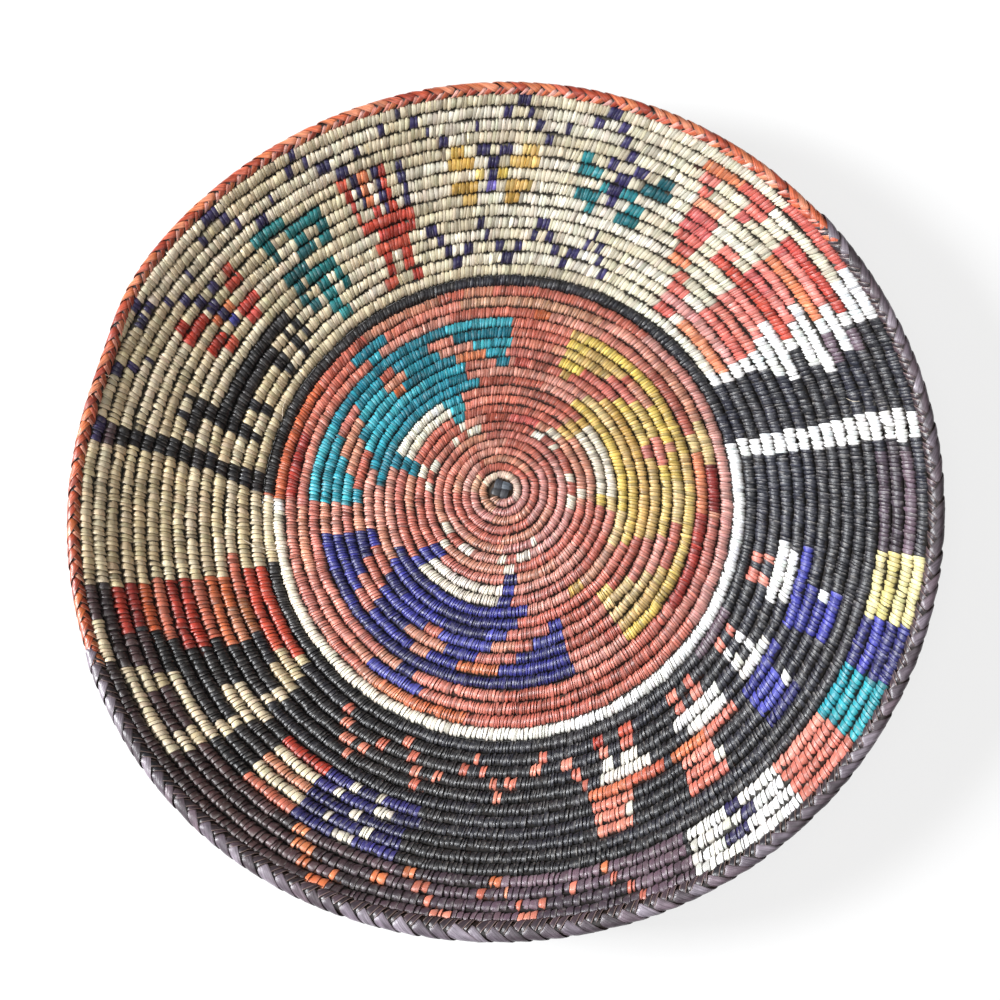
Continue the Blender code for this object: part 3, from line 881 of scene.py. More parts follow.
def map_range(tree, value, low, high, to_low, to_high):
    """A value moved from one range to another."""
    node = tree.nodes.new("ShaderNodeMapRange")
    for socket, number in enumerate((value, low, high, to_low, to_high)):
        feed(tree, number, node.inputs[socket])
    return node.outputs[0]


def shaded(tree, colour, noise, low, high, dark, bright):
    """A colour made darker and brighter by noise."""
    return mix_colour(tree, "MULTIPLY", 1.0, colour, map_range(tree, noise, low, high, dark, bright))


def combine(tree, operation, first, second):
    """Two values put together by a sum of that name."""
    node = tree.nodes.new("ShaderNodeMath")
    node.operation = operation
    feed(tree, first, node.inputs[0])
    feed(tree, second, node.inputs[1])
    return node.outputs[0]


def leaf_noise(tree, scale, detail):
    """Noise drawn out along the leaf: fine across the strip and long along it."""
    grain = tree.nodes.new("ShaderNodeUVMap")
    grain.uv_map = "leaf_grain"
    mapping = add(tree, "ShaderNodeMapping", Scale=scale)
    tree.links.new(grain.outputs[0], mapping.inputs[0])
    noise = add(tree, "ShaderNodeTexNoise", Scale=1.0, Detail=detail, Roughness=0.6)
    tree.links.new(mapping.outputs[0], noise.inputs["Vector"])
    return noise.outputs["Fac"]


def object_noise(tree, scale, detail):
    """Noise in the space of the piece."""
    place = tree.nodes.new("ShaderNodeTexCoord")
    noise = add(tree, "ShaderNodeTexNoise", Scale=scale, Detail=detail)
    tree.links.new(place.outputs["Object"], noise.inputs["Vector"])
    return noise.outputs["Fac"]


def dress(tree, shader, colour, rough, streaks, strength, depth, shine):
    """Joins colour and roughness to the shader, raises the streaks a little and sets the shine."""
    tree.links.new(colour, shader.inputs["Base Color"])
    tree.links.new(rough, shader.inputs["Roughness"])
    bump = add(tree, "ShaderNodeBump", Strength=strength, Distance=depth)
    tree.links.new(streaks, bump.inputs["Height"])
    tree.links.new(bump.outputs[0], shader.inputs["Normal"])
    shader.inputs["Specular IOR Level"].default_value = shine


def leaf_material():
    """Dyed leaf: the wrap's own tint, streaks along the leaf, pale flecks that are partly painted glints,
    pale edges that are rubbing and painted highlight, and notches darkened as painted shade and made dull.
    """
    material, tree, shader = node_material("dyed_leaf")
    notch = kept(tree, "notch")
    streaks = leaf_noise(tree, (2.7, 0.20, 1), 4)
    fine = leaf_noise(tree, (7, 0.35, 1), 2)
    colour = shaded(tree, kept(tree, "tint", "Color"), streaks, 0.3, 0.7, 0.66, 1.20)
    colour = shaded(tree, colour, object_noise(tree, 55, 3), 0.35, 0.65, 0.90, 1.07)
    # Pale flecks: broken fibre ends, and painted glints on the shiny leaf.
    fleck_and_glint = map_range(tree, fine, 0.64, 0.76, 0.0, 0.22)
    colour = mix_colour(tree, "MIX", fleck_and_glint, colour, (0.66, 0.62, 0.56, 1))
    # Pale rubbing and painted highlight on the far edge of each wrap.
    rub_and_highlight = map_range(tree, object_noise(tree, 420, 2), 0.48, 0.68, 0.0, 0.24)
    rub_and_highlight = combine(tree, "MULTIPLY", rub_and_highlight, kept(tree, "ridge"))
    colour = mix_colour(tree, "MIX", rub_and_highlight, colour, (0.70, 0.66, 0.62, 1))
    # Painted shade: the notches and row borders are darkened toward deep brown.
    dark = map_range(tree, notch, 0.15, 1.0, 0.0, 0.92)
    colour = mix_colour(tree, "MULTIPLY", dark, colour, (0.17, 0.11, 0.08, 1))
    rough = map_range(tree, streaks, 0.3, 0.7, 0.52, 0.30)
    rough = combine(tree, "MAXIMUM", rough, map_range(tree, notch, 0.15, 0.8, 0.30, 0.95))
    dress(tree, shader, colour, rough, streaks, 0.8, 0.00022, 0.65)
    return material


def build_rows():
    """The sewn rows in closed lengths: groups of turns on the base, then one turn each."""
    wraps = lay_wraps()
    leaf = leaf_material()
    ends = [0, 7.9, 12.9, 15.9, 18.9, BASE_TURNS]
    lengths = []
    for number, (first, last) in enumerate(zip(ends, ends[1:]), 1):
        lengths.append((f"base_rows_{number:02d}", first, last, "base_leaf", "base_coil"))
    lengths.append(("ring_row_stitched", BASE_TURNS, WALL_FOOT, "ring_leaf", "ring_row"))
    for number in range(1, 16):
        first = WALL_FOOT + number - 1
        last = first + 1 if number < 15 else CORD_TURNS + 1
        lengths.append((f"wall_row_{number:02d}", first, last, "wall_leaf", "wall_coil"))
    for name, first, last, slot, node in lengths:
        chosen = wraps[(first <= wraps[:, 2]) & (wraps[:, 2] < last)]
        make_row(name, chosen, node, leaf)


build_rows()


# The bundle inside the wraps, drawn near black as painted shade, seen only as a dark line where wraps stand
# apart

BUNDLE_STEP = 5 / TURN_STEPS
BUNDLE_AROUND = 10
BUNDLE_HEIGHT = 0.80
BUNDLE_OFF_FLOOR = 0.0002
DYE_ON_BUNDLE = 0.08
# The bundle's near-black brown is painted shade.
BUNDLE_BROWN = np.array([0.012, 0.009, 0.007])


def bundle_material():
    """Dull brown grass drawn near black as painted shade, with a little of the dye colour of the wraps
    round it.
    """
    material, tree, shader = node_material("grass_bundle")
    colour = shaded(tree, kept(tree, "tint", "Color"), object_noise(tree, 900, 2), 0.3, 0.7, 0.5, 1.3)
    tree.links.new(colour, shader.inputs["Base Color"])
    shader.inputs["Roughness"].default_value = 0.9
    return material


def make_bundle(name, first, last, node):
    """The grass bundle under the wraps, as a closed tube that nearly touches the turns beside it."""
    distance = sample(np.arange(first, last, BUNDLE_STEP), coil.turn, coil.length)
    centre = sample(distance, coil.length, coil.place)
    _, out, up = coil.directions(distance)
    half = sample(distance, coil.length, coil.half_width) * sample(distance, coil.length, coil.fullness)
    phi = 2 * np.pi * np.arange(BUNDLE_AROUND) / BUNDLE_AROUND
    x = np.cos(phi)[None, :] * half[:, None]
    z = np.sin(phi)[None, :] * half[:, None] * BUNDLE_HEIGHT
    points = centre[:, None] + out[:, None] * x[..., None] + up[:, None] * z[..., None]
    points[..., 2] = np.maximum(points[..., 2], BUNDLE_OFF_FLOOR)
    piece = closed_tube(name, points, BUNDLE)
    told = sample(distance[:-1], coil.length, coil.bearing_turn)
    shades = [TINTS[dye_at(*row_and_bearing(turn))][0] * DYE_ON_BUNDLE + BUNDLE_BROWN for turn in told]
    shades = np.append(np.repeat(shades, BUNDLE_AROUND, axis=0), [BUNDLE_BROWN, BUNDLE_BROWN])
    put(piece.data, "tint", "FLOAT_VECTOR", "FACE", shades)
    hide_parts(node)


BUNDLE = bundle_material()
make_bundle("bundle_base", 0.004, BASE_TURNS, "base_coil")
make_bundle("bundle_ring", BASE_TURNS, WALL_FOOT, "ring_row")
make_bundle("bundle_wall", WALL_FOOT, CORD_TURNS - 0.002, "wall_coil")


# Thin leaf strips: closed sheets with a top, an under side and an edge

SHARP_ANGLE = 50


def sheet_faces(rows, columns):
    """The corners of the faces of a thin closed sheet, whose under points follow its top points."""
    under = rows * columns
    faces = []
    for i in range(rows - 1):
        for j in range(columns - 1):
            a = i * columns + j
            corners = [a, a + 1, a + 1 + columns, a + columns]
            faces += [corners, [corner + under for corner in reversed(corners)]]
    rim = [i * columns for i in range(rows)] + [(rows - 1) * columns + j for j in range(1, columns)]
    rim += [i * columns + columns - 1 for i in reversed(range(rows - 1))]
    rim += reversed(range(1, columns - 1))
    for a, c in zip(rim, rim[1:] + rim[:1]):
        faces.append([c, c + under, a + under, a])
    return faces


class LeafMesh:
    """Strips of leaf gathered for one piece."""

    def __init__(self):
        self.points, self.faces, self.grain, self.tint = [], [], [], []
        self.marks = {"edge": [], "notch": []}

    def add(self, points, faces, grain, colour, edge=0, notch=0):
        """Faces of one colour between points, with each point's place along the leaf, paleness and painted
        shade.
        """
        base = len(self.points)
        self.points.extend(points.tolist())
        for key, values in (("edge", edge), ("notch", notch)):
            self.marks[key].extend(np.broadcast_to(values, len(points)).tolist())
        for corners in faces:
            self.faces.append([base + corner for corner in corners])
            self.grain.extend(grain[corner] for corner in corners)
            self.tint.append(colour)

    def piece(self, name, node, slot, material):
        """The finished piece."""
        mesh = bpy.data.meshes.new(name)
        mesh.from_pydata(self.points, [], self.faces)
        put(mesh, "tint", "FLOAT_VECTOR", "FACE", self.tint)
        for key, values in self.marks.items():
            if any(values):
                put(mesh, key, "FLOAT", "POINT", values)
        put_map(mesh, "leaf_grain", self.grain)
        mesh.shade_smooth()
        mesh.set_sharp_from_angle(angle=math.radians(SHARP_ANGLE))
        piece = link_piece(name, mesh, material)
        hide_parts(node)


# The plaited rim: strips come over the middle in turn and run out and forward to each edge

PLAIT_OFF_CORD = 0.0003
PLAIT_INWARD = 0.0010
PLAIT_FLATTER = 10
PLAIT_OVAL_DEPTH = 0.0038
TERRACOTTA_OVAL = 0.0052
PLUM_OVAL = 0.0061
TERRACOTTA_SPACING = 0.0064
PLUM_SPACING = 0.0077
BROAD_BEARING = 182
BROAD_SPREAD = 40
BROAD_GROWTH = 0.30
BROAD_INWARD = 0.0008
BROAD_LIFT = 0.0010
BROAD_FLATTER = 12
LONG_TAIL_TURNS = 0.022
TAIL_CLIMB_TURNS = 0.05
TAIL_LIFT = 0.0016
PLAIT_BEGIN = CORD_TURNS - 1
PLUM_BEGIN_BEARING = 247
PLUM_END_BEARING = 53
CORE_DEPTH = 0.0001
CORE_STEP = 0.004
CORE_AROUND = 8
# Dark brown of the plait's inside, which is also drawn under full painted shade.
CORE_BROWN = (0.030, 0.016, 0.012)


def turn_at_bearing(bearing):
    """The turn of the outermost row at a bearing."""
    part = part_of_turn(bearing)
    return part + math.ceil(PLAIT_BEGIN + 0.02 - part)


class Plait:
    """The centre line of the plait and its directions, from one side of the cord's end to the other."""

    def __init__(self, width):
        self.width = width
        self.turn = np.arange(PLAIT_BEGIN - 0.01, CORD_TURNS + LONG_TAIL_TURNS, 1 / TURN_STEPS)
        broad = bell(bearing_of(self.turn), BROAD_BEARING, BROAD_SPREAD)
        self.grow = 1 + BROAD_GROWTH * broad
        inward = PLAIT_INWARD + BROAD_INWARD * broad
        out, up = (unit(sample(self.turn, coil.turn, way)) for way in (coil.out, coil.up))
        edge = sample(self.turn, coil.turn, coil.half_width * coil.fullness)
        middle = edge + PLAIT_OFF_CORD - inward + width * self.grow / 2
        line = sample(self.turn, coil.turn, coil.place) + out * middle[:, None]
        line = line + up * (BROAD_LIFT * broad)[:, None]
        over_start = sample(self.turn - 1, self.turn, line) + up * TAIL_LIFT
        climb = ramp(self.turn, CORD_TURNS - TAIL_CLIMB_TURNS, CORD_TURNS + LONG_TAIL_TURNS)
        climb = smooth(climb)[:, None]
        self.line = line * (1 - climb) + over_start * climb
        flatter = np.radians(PLAIT_FLATTER + BROAD_FLATTER * broad)[:, None]
        self.out = out * np.cos(flatter) - up * np.sin(flatter)
        self.up = up * np.cos(flatter) + out * np.sin(flatter)
        self.length = running_length(self.line)
        self.phi = np.linspace(-np.pi, np.pi, 721)
        oval = np.stack([np.sin(self.phi) * width / 2, np.cos(self.phi) * PLAIT_OVAL_DEPTH / 2], axis=1)
        arc = running_length(oval)
        self.arc = arc - arc[len(arc) // 2]

    def surface(self, s, y, lift):
        """Points at distance s along the plait and y round it from its top, outward positive."""
        phi = np.interp(y, self.arc, self.phi)
        width = self.width * sample(s, self.length, self.grow)
        x, z = np.sin(phi) * width / 2, np.cos(phi) * PLAIT_OVAL_DEPTH / 2
        nx, nz = np.sin(phi) / width, np.cos(phi) / PLAIT_OVAL_DEPTH
        size = np.hypot(nx, nz)
        x, z = (x + lift * nx / size)[..., None], (z + lift * nz / size)[..., None]
        line, out, up = (sample(s, self.length, values) for values in (self.line, self.out, self.up))
        return (line + out * x + up * z).reshape(-1, 3)


PLAITS = {"terracotta": Plait(TERRACOTTA_OVAL), "plum": Plait(PLUM_OVAL)}
PLAIT_DYES = {
    "terracotta": [(174, 82, 50), (154, 62, 38), (188, 102, 62), (138, 50, 32), (170, 80, 56),
                   (192, 114, 80)],
    "folded": [(222, 150, 130), (206, 128, 108), (190, 96, 74), (228, 164, 146)],
    "plum": [(104, 93, 103), (86, 76, 84), (122, 112, 121), (72, 62, 68), (96, 82, 90)],
    "plum_dark": [(58, 48, 54), (46, 38, 43), (72, 58, 65)],
    "black": [(36, 34, 40), (30, 29, 34)],
}
PLAIT_TINT_NOISE = 0.1
PINK_LOT = np.array([0.30, 0.45, 0.70])
PINK_BEARING = 30
PALE_LOT = np.array([0.30, 0.34, 0.36])
PALE_BEARING = 172
PALE_SPREAD = 30
BLACK_SPANS = [(137, 152), (228, 236)]

# In each step of the plait one strip goes to the outer side and two to the inner side. Places and
# widths are shares of the step, a lean is in degrees, run is how the leaf's grain moves on, and the
# edge shade is painted shade on a strip's edges where strips overlap.

STRANDS = [
    {"side": 1, "place": 0.0, "lean": 33, "lean_noise": 3, "width": 0.57, "width_noise": 0.08,
     "reach": 1.23, "steps": 16, "run": (7.3, 0), "pale_edge": 0.1, "edge_shade": 0.75},
    {"side": -1, "place": 0.42, "lean": 47, "lean_noise": 4, "width": 0.34, "width_noise": 0.10,
     "reach": 0.90, "steps": 13, "run": (5.1, 3), "pale_edge": 1.0, "edge_shade": 0.15},
    {"side": -1, "place": 0.80, "lean": 47, "lean_noise": 4, "width": 0.27, "width_noise": 0.10,
     "reach": 0.90, "steps": 13, "run": (3.7, 1), "pale_edge": 1.0, "edge_shade": 0.15},
]
STRAND_DYES = {
    "terracotta": ("terracotta", "terracotta", "folded"),
    "plum": ("plum", "plum_dark", "plum_dark"),
    "black": ("plum", "black", "black"),
}
STRIP_ACROSS = 6
STRIP_BEGIN = -0.0021
STRIP_NARROWING = 0.45
STRIP_RISE_FROM = -0.0012
STRIP_RISE_TO = 0.0010
STRIP_SINK = 0.00045
STRIP_TILT = 0.00050
STRIP_CROWN = 0.00020
STRIP_RIPPLE = 0.00008
RIPPLES = 900
STRIP_THICKNESS = 0.00028
STRIP_LEAD = 0.0015
STRIP_PLACE_NOISE = 0.0003


def plait_tint(name, bearing):
    """A dye of the plait, different from strip to strip, pinker over the top and paler at the bottom."""
    tints = PLAIT_DYES[name]
    tint = linear(tints[random.integers(len(tints))])
    tint = tint * np.clip(1 + PLAIT_TINT_NOISE * random.standard_normal(), 0.75, 1.3)
    if name in ("terracotta", "folded"):
        tint = tint * (1 + PINK_LOT * math.cos(math.radians(bearing - PINK_BEARING)))
    if name == "plum":
        tint = tint * (1 + PALE_LOT * bell(bearing, PALE_BEARING, PALE_SPREAD))
    return np.clip(tint, 0.004, 0.9)


def plait_strip(leaves, plait, strand, s, angle, width, colour, run):
    """One strip of the plait, from under the middle of the top round to the under side."""
    tilt = math.radians(angle)
    reach = strand["reach"] * plait.width / math.sin(tilt)
    ell = np.linspace(STRIP_BEGIN, reach, strand["steps"])[:, None]
    b = np.linspace(-0.5, 0.5, STRIP_ACROSS)[None, :]
    across = b * width * (1 - STRIP_NARROWING * ramp(-ell, -0.0004, -STRIP_BEGIN))
    place = s + ell * math.cos(tilt) - across * math.sin(tilt)
    round_top = strand["side"] * (ell * math.sin(tilt) + across * math.cos(tilt))
    rise = smooth(ramp(ell, STRIP_RISE_FROM, STRIP_RISE_TO))
    lift = rise * (STRIP_SINK + STRIP_TILT * (0.5 - b) + STRIP_CROWN * np.cos(np.pi * b)) - STRIP_SINK
    lift = lift + STRIP_RIPPLE * np.sin(ell * RIPPLES + run)
    levels = [plait.surface(place, round_top, lift - drop) for drop in (0, STRIP_THICKNESS)]
    # Painted shade where the strip starts under the middle of the plait, and along its edges where strips
    # overlap.
    tucked_shade = 1 - rise + ramp(np.abs(b), 0.3, 0.5) * strand["edge_shade"]
    notch = np.clip(np.stack([tucked_shade, tucked_shade + 0.5]), 0, 1)
    edge = (ramp(np.abs(b), 0.33, 0.50) + 0 * ell) * strand["pale_edge"]
    grain = np.stack([b * width * 1000 + run + 0 * ell, ell * 1000 + 0 * b], axis=-1).reshape(-1, 2)
    faces = sheet_faces(strand["steps"], STRIP_ACROSS)
    if strand["side"] > 0:
        faces = [corners[::-1] for corners in faces]
    points = np.concatenate(levels)
    leaves.add(points, faces, np.tile(grain, (2, 1)), colour, np.tile(edge.ravel(), 2), notch.ravel())


def plait_core(leaves, plait, first, last):
    """The inside of the plait, dark brown and darkened all over as painted shade, which shows between the
    strips.
    """
    distances = np.linspace(first, last, max(int((last - first) / CORE_STEP), 4))
    y = np.linspace(plait.arc[0], plait.arc[-1], CORE_AROUND, endpoint=False)
    s_grid, y_grid = np.meshgrid(distances, y, indexing="ij")
    points = plait.surface(s_grid, y_grid, -CORE_DEPTH)
    quads, caps = tube_faces(len(distances), CORE_AROUND)
    faces = [corners.tolist()[::-1] for corners in (*quads, *caps)]
    # The whole core takes the full painted shade.
    leaves.add(points, faces, np.zeros((len(points), 2)), CORE_BROWN, notch=1)


def plait_piece(name, first_turn, last_turn, dye, spacing, node, slot):
    """One dye lot of the plait."""
    leaves = LeafMesh()
    plait = PLAITS[dye]
    first, last = sample(np.array([first_turn, last_turn]), plait.turn, plait.length)
    plait_core(leaves, plait, first, last)
    count = max(int((last - first) / spacing), 1)
    step = (last - first) / count
    for k in range(count + 1):
        s = first + k * step - STRIP_LEAD + STRIP_PLACE_NOISE * random.standard_normal()
        bearing = bearing_of(sample(s, plait.length, plait.turn))
        on_black = dye == "plum" and any(low <= bearing <= high for low, high in BLACK_SPANS)
        tints = [plait_tint(tint, bearing) for tint in STRAND_DYES["black" if on_black else dye]]
        wobble = random.standard_normal((len(STRANDS), 2))
        for strand, tint, (lean, wide) in zip(STRANDS, tints, wobble):
            angle = strand["lean"] + strand["lean_noise"] * lean
            width = step * strand["width"] * (1 + strand["width_noise"] * wide)
            run = k * strand["run"][0] + strand["run"][1]
            plait_strip(leaves, plait, strand, s + step * strand["place"], angle, width, tint, run)
    leaves.piece(name, node, slot, PLAIT_LEAF)


def plait_material():
    """Glossier leaf with lines along it, paler folded edges, and painted shade where strips go under others
    and over the core.
    """
    material, tree, shader = node_material("plait_leaf")
    streaks = leaf_noise(tree, (2.0, 0.08, 1), 5)
    colour = shaded(tree, kept(tree, "tint", "Color"), streaks, 0.32, 0.68, 0.40, 1.55)
    colour = shaded(tree, colour, object_noise(tree, 160, 3), 0.35, 0.65, 0.85, 1.12)
    pale = map_range(tree, kept(tree, "edge"), 0.3, 1.0, 0.0, 0.45)
    colour = mix_colour(tree, "SCREEN", pale, colour, (0.55, 0.38, 0.32, 1))
    # Painted shade: tucked parts, overlapping edges and the whole core darkened toward deep red-brown.
    dark = map_range(tree, kept(tree, "notch"), 0.2, 1.0, 0.0, 0.85)
    colour = mix_colour(tree, "MULTIPLY", dark, colour, (0.22, 0.12, 0.10, 1))
    rough = map_range(tree, streaks, 0.3, 0.7, 0.46, 0.28)
    dress(tree, shader, colour, rough, streaks, 0.8, 0.0002, 0.6)
    return material


PLAIT_LEAF = plait_material()
PLUM_BEGIN = turn_at_bearing(PLUM_BEGIN_BEARING)
PLUM_END = turn_at_bearing(PLUM_END_BEARING)
plait_piece("rim_plait_terracotta_short", PLAIT_BEGIN, PLUM_BEGIN, "terracotta", TERRACOTTA_SPACING,
            "rim_braid_terracotta_short", "terracotta_plait")
plait_piece("rim_plait_plum", PLUM_BEGIN, PLUM_END, "plum", PLUM_SPACING, "rim_braid_plum", "plum_plait")
plait_piece("rim_plait_terracotta_long", PLUM_END, CORD_TURNS + LONG_TAIL_TURNS - 0.004, "terracotta",
            TERRACOTTA_SPACING, "rim_braid_terracotta_long", "terracotta_plait")


# The plaited start. A ribbon's profile, in millimetres, rises from under the one before, passes over
# the next and goes down at its end

KNOT_TURN = -15
KNOT_SHIFT = (-0.0005, 0.0007)
KNOT_OFFSET = 0.0019
KNOT_WIDTH = 0.0034
KNOT_TOP = 0.0017
KNOT_STAGGER = 0.00012
KNOT_THICKNESS = 0.0003
KNOT_CROWN = 0.28
KNOT_ACROSS = 7
KNOT_ALONG = np.array([-3.2, -2.2, -1.2, -0.3, 0.5, 1.6, 2.8, 3.7, 4.3, 4.6])
KNOT_HEIGHT = np.array([-1.3, -1.15, -0.80, -0.22, 0.05, 0.10, 0.0, -0.25, -0.85, -1.7])
KNOT_NARROWING = np.array([0.80, 0.86, 0.94, 1.0, 1.04, 1.03, 1.0, 0.95, 0.86, 0.76])
KNOT_DYES = [(74, 80, 88), (42, 42, 47), (36, 35, 38), (48, 50, 57)]
# The pad's dark brown is painted shade where it shows between the ribbons.
PAD_BROWN = (0.055, 0.034, 0.021)
PAD_AROUND = 60
PAD_REACH = 0.55
PAD_RINGS = [(0.60, 0.0003), (0.85, 0.0004), (1.0, 0.0010), (0.92, 0.0017), (0.60, 0.0018), (0.25, 0.0019)]


def ribbon_material():
    """Dark leaf with fine pale lines along it."""
    material, tree, shader = node_material("start_leaf_dark")
    streaks = leaf_noise(tree, (3.0, 0.15, 1), 4)
    colour = shaded(tree, kept(tree, "tint", "Color"), streaks, 0.36, 0.64, 0.30, 1.8)
    rough = map_range(tree, streaks, 0.3, 0.7, 0.62, 0.42)
    dress(tree, shader, colour, rough, streaks, 0.6, 0.00012, 0.55)
    return material


def build_ribbon(number, colour, material):
    """A dark ribbon, over the next one, whose outer end goes down between the pad and the first turn."""
    turn = math.radians(KNOT_TURN - 90 * number)
    direction = np.array([math.cos(turn), math.sin(turn), 0])
    side = np.array([-math.sin(turn), math.cos(turn), 0])
    top = START.z + KNOT_TOP + KNOT_STAGGER * (number % 2)
    middle = np.array([START.x + KNOT_SHIFT[0], START.y + KNOT_SHIFT[1], top]) + side * KNOT_OFFSET
    middle = middle + direction * KNOT_ALONG[:, None] / 1000
    middle[:, 2] += KNOT_HEIGHT / 1000
    up = np.cross(unit(np.gradient(middle, axis=0)), side)
    b = np.linspace(-0.5, 0.5, KNOT_ACROSS)[None, :]
    widths = (KNOT_NARROWING * KNOT_WIDTH)[:, None]
    upper = middle[:, None] + side * (b * widths)[..., None]
    upper = upper - up[:, None] * (KNOT_CROWN * widths * b ** 2)[..., None]
    lower = upper - up[:, None] * KNOT_THICKNESS
    points = np.concatenate([upper.reshape(-1, 3), lower.reshape(-1, 3)])
    along = running_length(middle)[:, None] * 1000
    grain = np.stack([b * widths * 1000 + along[-1], along + 0 * b], axis=-1).reshape(-1, 2)
    leaves = LeafMesh()
    leaves.add(points, sheet_faces(len(middle), KNOT_ACROSS), np.tile(grain, (2, 1)), linear(colour))
    leaves.piece(f"start_ribbon_{number + 1}", f"start_strip_{number + 1}", "start_leaf", material)


def build_pad():
    """The end of the bundle under the ribbons, out to the inner side of the first turn, dark as painted
    shade in the gaps between them.
    """
    turn = np.arange(PAD_AROUND) / PAD_AROUND
    away = sample(turn, coil.turn, coil.place)[:, :2] - np.array([START.x, START.y])
    radius = np.hypot(*away.T) - PAD_REACH * sample(turn, coil.turn, coil.half_width)
    angle = np.radians(START_ANGLE) + 2 * np.pi * turn
    points = np.empty((len(PAD_RINGS), PAD_AROUND, 3))
    for row, (share, height) in enumerate(PAD_RINGS):
        points[row, :, 0] = START.x + radius * share * np.cos(angle)
        points[row, :, 1] = START.y + radius * share * np.sin(angle)
        points[row, :, 2] = height
    piece = closed_tube("start_pad", points, BUNDLE)
    put(piece.data, "tint", "FLOAT_VECTOR", "FACE", np.tile(PAD_BROWN, len(piece.data.polygons)))
    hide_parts("start_strip_1")


RIBBON_LEAF = ribbon_material()
for number, colour in enumerate(KNOT_DYES):
    build_ribbon(number, colour, RIBBON_LEAF)
build_pad()


# Loose fibres of leaf, placed by pixels of the photograph and laid on the surface there

LOOSE_FIBRES = [
    ("pale", 0.00016, [(241, 538), (252, 545), (268, 550), (287, 549)]),
    ("pale", 0.00012, [(288, 395), (283, 407), (282, 420)]),
    ("pale", 0.00012, [(846, 398), (853, 402), (860, 401)]),
    ("pale", 0.00014, [(104, 374), (111, 377), (117, 382)]),
    ("terracotta", 0.00020, [(92, 386), (98, 383), (108, 378)]),
    ("terracotta", 0.00018, [(88, 392), (93, 397), (96, 404)]),
]
FIBRE_COLOURS = {"pale": (225, 212, 190), "terracotta": (214, 150, 122)}
FIBRE_OFF_LEAF = 0.0002
FIBRE_ARCH = 0.0005
FIBRE_STEPS = 17
FIBRE_AROUND = 6


def place_seen_at(pixel):
    """The point just above the sewn surface that the camera sees at a pixel."""
    top = coil.place + coil.up * (coil.half_width * ROW_HEIGHT + FIBRE_OFF_LEAF)[:, None]
    across, down = on_picture(top)
    nearest = np.argmin((across - pixel[0]) ** 2 + (down - pixel[1]) ** 2)
    ray = EYE_AXES @ np.array([pixel[0] - CENTRE_PIXEL[0], CENTRE_PIXEL[1] - pixel[1], -FOCAL_PIXELS])
    reach = np.dot(top[nearest] - EYE, coil.up[nearest]) / np.dot(ray, coil.up[nearest])
    return EYE + ray * reach


def fibre_material(name, colour):
    """A single fibre of leaf."""
    material, tree, shader = node_material(name)
    tone = shaded(tree, (*linear(colour), 1), object_noise(tree, 1500, 2), 0.3, 0.7, 0.7, 1.15)
    tree.links.new(tone, shader.inputs["Base Color"])
    shader.inputs["Roughness"].default_value = 0.5
    return material


def build_fibres():
    """Each fibre is a thin closed tube, lifted in the middle and down on the wraps at its ends."""
    materials = {key: fibre_material("fibre_" + key, colour) for key, colour in FIBRE_COLOURS.items()}
    share = np.linspace(0, 1, FIBRE_STEPS)
    phi = 2 * np.pi * np.arange(FIBRE_AROUND) / FIBRE_AROUND
    for number, (kind, radius, pixels) in enumerate(LOOSE_FIBRES, 1):
        knots = np.array([place_seen_at(pixel) for pixel in pixels])
        line = sample(share, np.linspace(0, 1, len(knots)), knots)
        for _ in range(6):
            line[1:-1] = (line[:-2] + 2 * line[1:-1] + line[2:]) / 4
        line[:, 2] += FIBRE_ARCH * np.sin(np.pi * share) - FIBRE_OFF_LEAF
        tangent = unit(np.gradient(line, axis=0))
        side = unit(np.cross(tangent, np.array([0, 0, 1.0])))
        up = np.cross(side, tangent)
        size = radius * (1 - 0.6 * (2 * share - 1) ** 4)
        ring = side[:, None] * np.cos(phi)[None, :, None] + up[:, None] * np.sin(phi)[None, :, None]
        points = line[:, None] + ring * size[:, None, None]
        piece = closed_tube(f"loose_fibre_{number}", points, materials[kind])


build_fibres()


# The floor and the light

FLOOR_HALF = 4
FLOOR_Z = -0.0002
FLOOR_SEEN_WHITE = 0.75
SURROUND_STRENGTH = 0.21


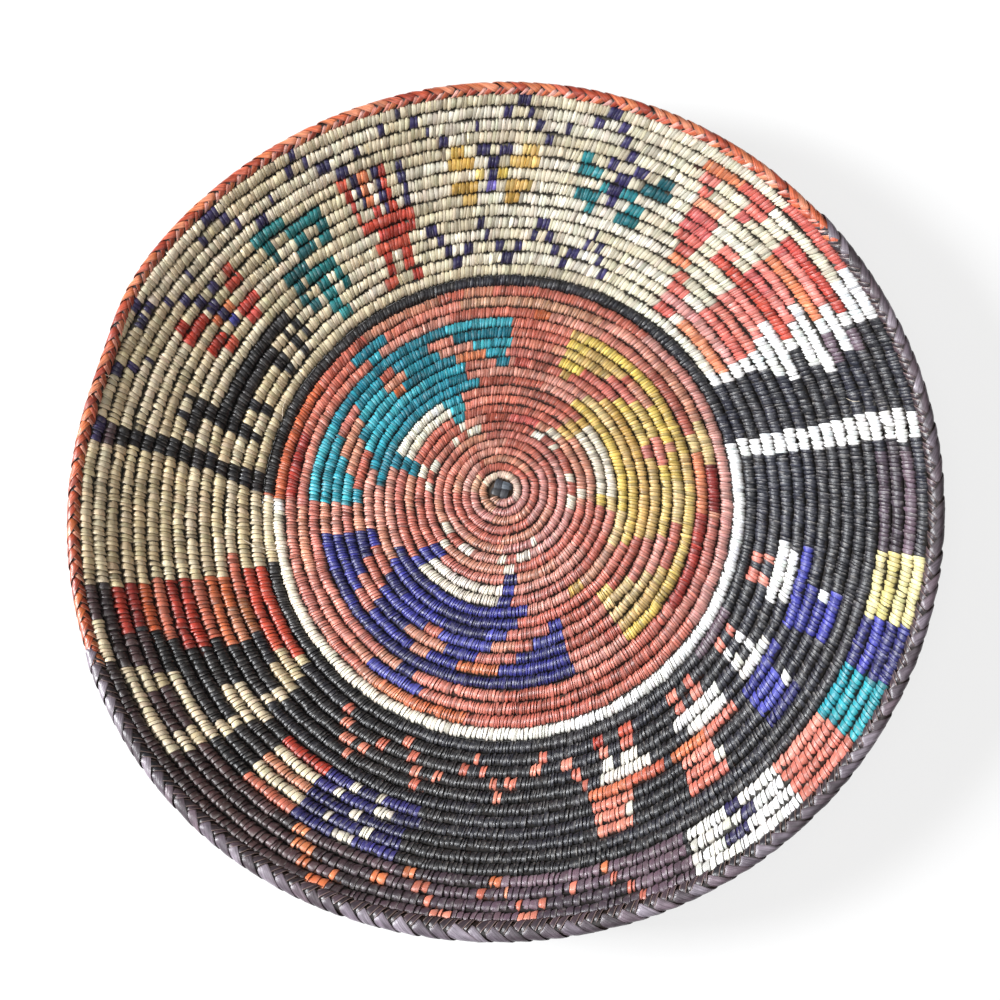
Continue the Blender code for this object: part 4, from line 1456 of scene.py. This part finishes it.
def split_rays(tree, lit, share, output):
    """Mixes plain white into what the camera sees, and leaves what lights the tray as it is."""
    white = "ShaderNodeEmission" if output == "Material Output" else "ShaderNodeBackground"
    seen = add(tree, white, Color=(1, 1, 1, 1), Strength=1.0)
    path = tree.nodes.new("ShaderNodeLightPath")
    mix = tree.nodes.new("ShaderNodeMixShader")
    amount = combine(tree, "MULTIPLY", path.outputs["Is Camera Ray"], share)
    tree.links.new(amount, mix.inputs[0])
    tree.links.new(lit.outputs[0], mix.inputs[1])
    tree.links.new(seen.outputs[0], mix.inputs[2])
    tree.links.new(mix.outputs[0], tree.nodes[output].inputs["Surface"])


def make_stage():
    """A wide pale floor."""
    mesh = bpy.data.meshes.new("floor")
    corners = [(-FLOOR_HALF, -FLOOR_HALF, 0), (FLOOR_HALF, -FLOOR_HALF, 0),
               (FLOOR_HALF, FLOOR_HALF, 0), (-FLOOR_HALF, FLOOR_HALF, 0)]
    mesh.from_pydata(corners, [], [(0, 1, 2, 3)])
    floor = bpy.data.objects.new("floor", mesh)
    floor.location.z = FLOOR_Z
    bpy.context.scene.collection.objects.link(floor)
    material, tree, shader = node_material("floor_white")
    shader.inputs["Base Color"].default_value = (0.9, 0.9, 0.9, 1)
    shader.inputs["Roughness"].default_value = 0.9
    split_rays(tree, shader, FLOOR_SEEN_WHITE, "Material Output")
    mesh.materials.append(material)


def area_light(name, place, size, power):
    """A square soft light aimed at the tray."""
    data = bpy.data.lights.new(name, "AREA")
    data.size = size
    data.energy = power
    data.color = (0.96, 0.98, 1)
    light = bpy.data.objects.new(name, data)
    light.location = place
    light.rotation_euler = (-Vector(place)).to_track_quat("-Z", "Y").to_euler()
    bpy.context.scene.collection.objects.link(light)


def make_light():
    """A soft key light from the left, a weaker wide one overhead and an even pale surround."""
    area_light("key", (-1.40, 0.0, 1.00), 0.5, 62)
    area_light("overhead", (0.0, -0.3, 1.8), 1.2, 11)
    world = bpy.data.worlds.new("pale_surround")
    world.use_nodes = True
    surround = world.node_tree.nodes["Background"]
    surround.inputs["Color"].default_value = (1, 0.95, 0.90, 1)
    surround.inputs["Strength"].default_value = SURROUND_STRENGTH
    split_rays(world.node_tree, surround, 1.0, "World Output")
    bpy.context.scene.world = world
    bpy.context.scene.view_settings.view_transform = "Standard"


make_stage()
make_light()
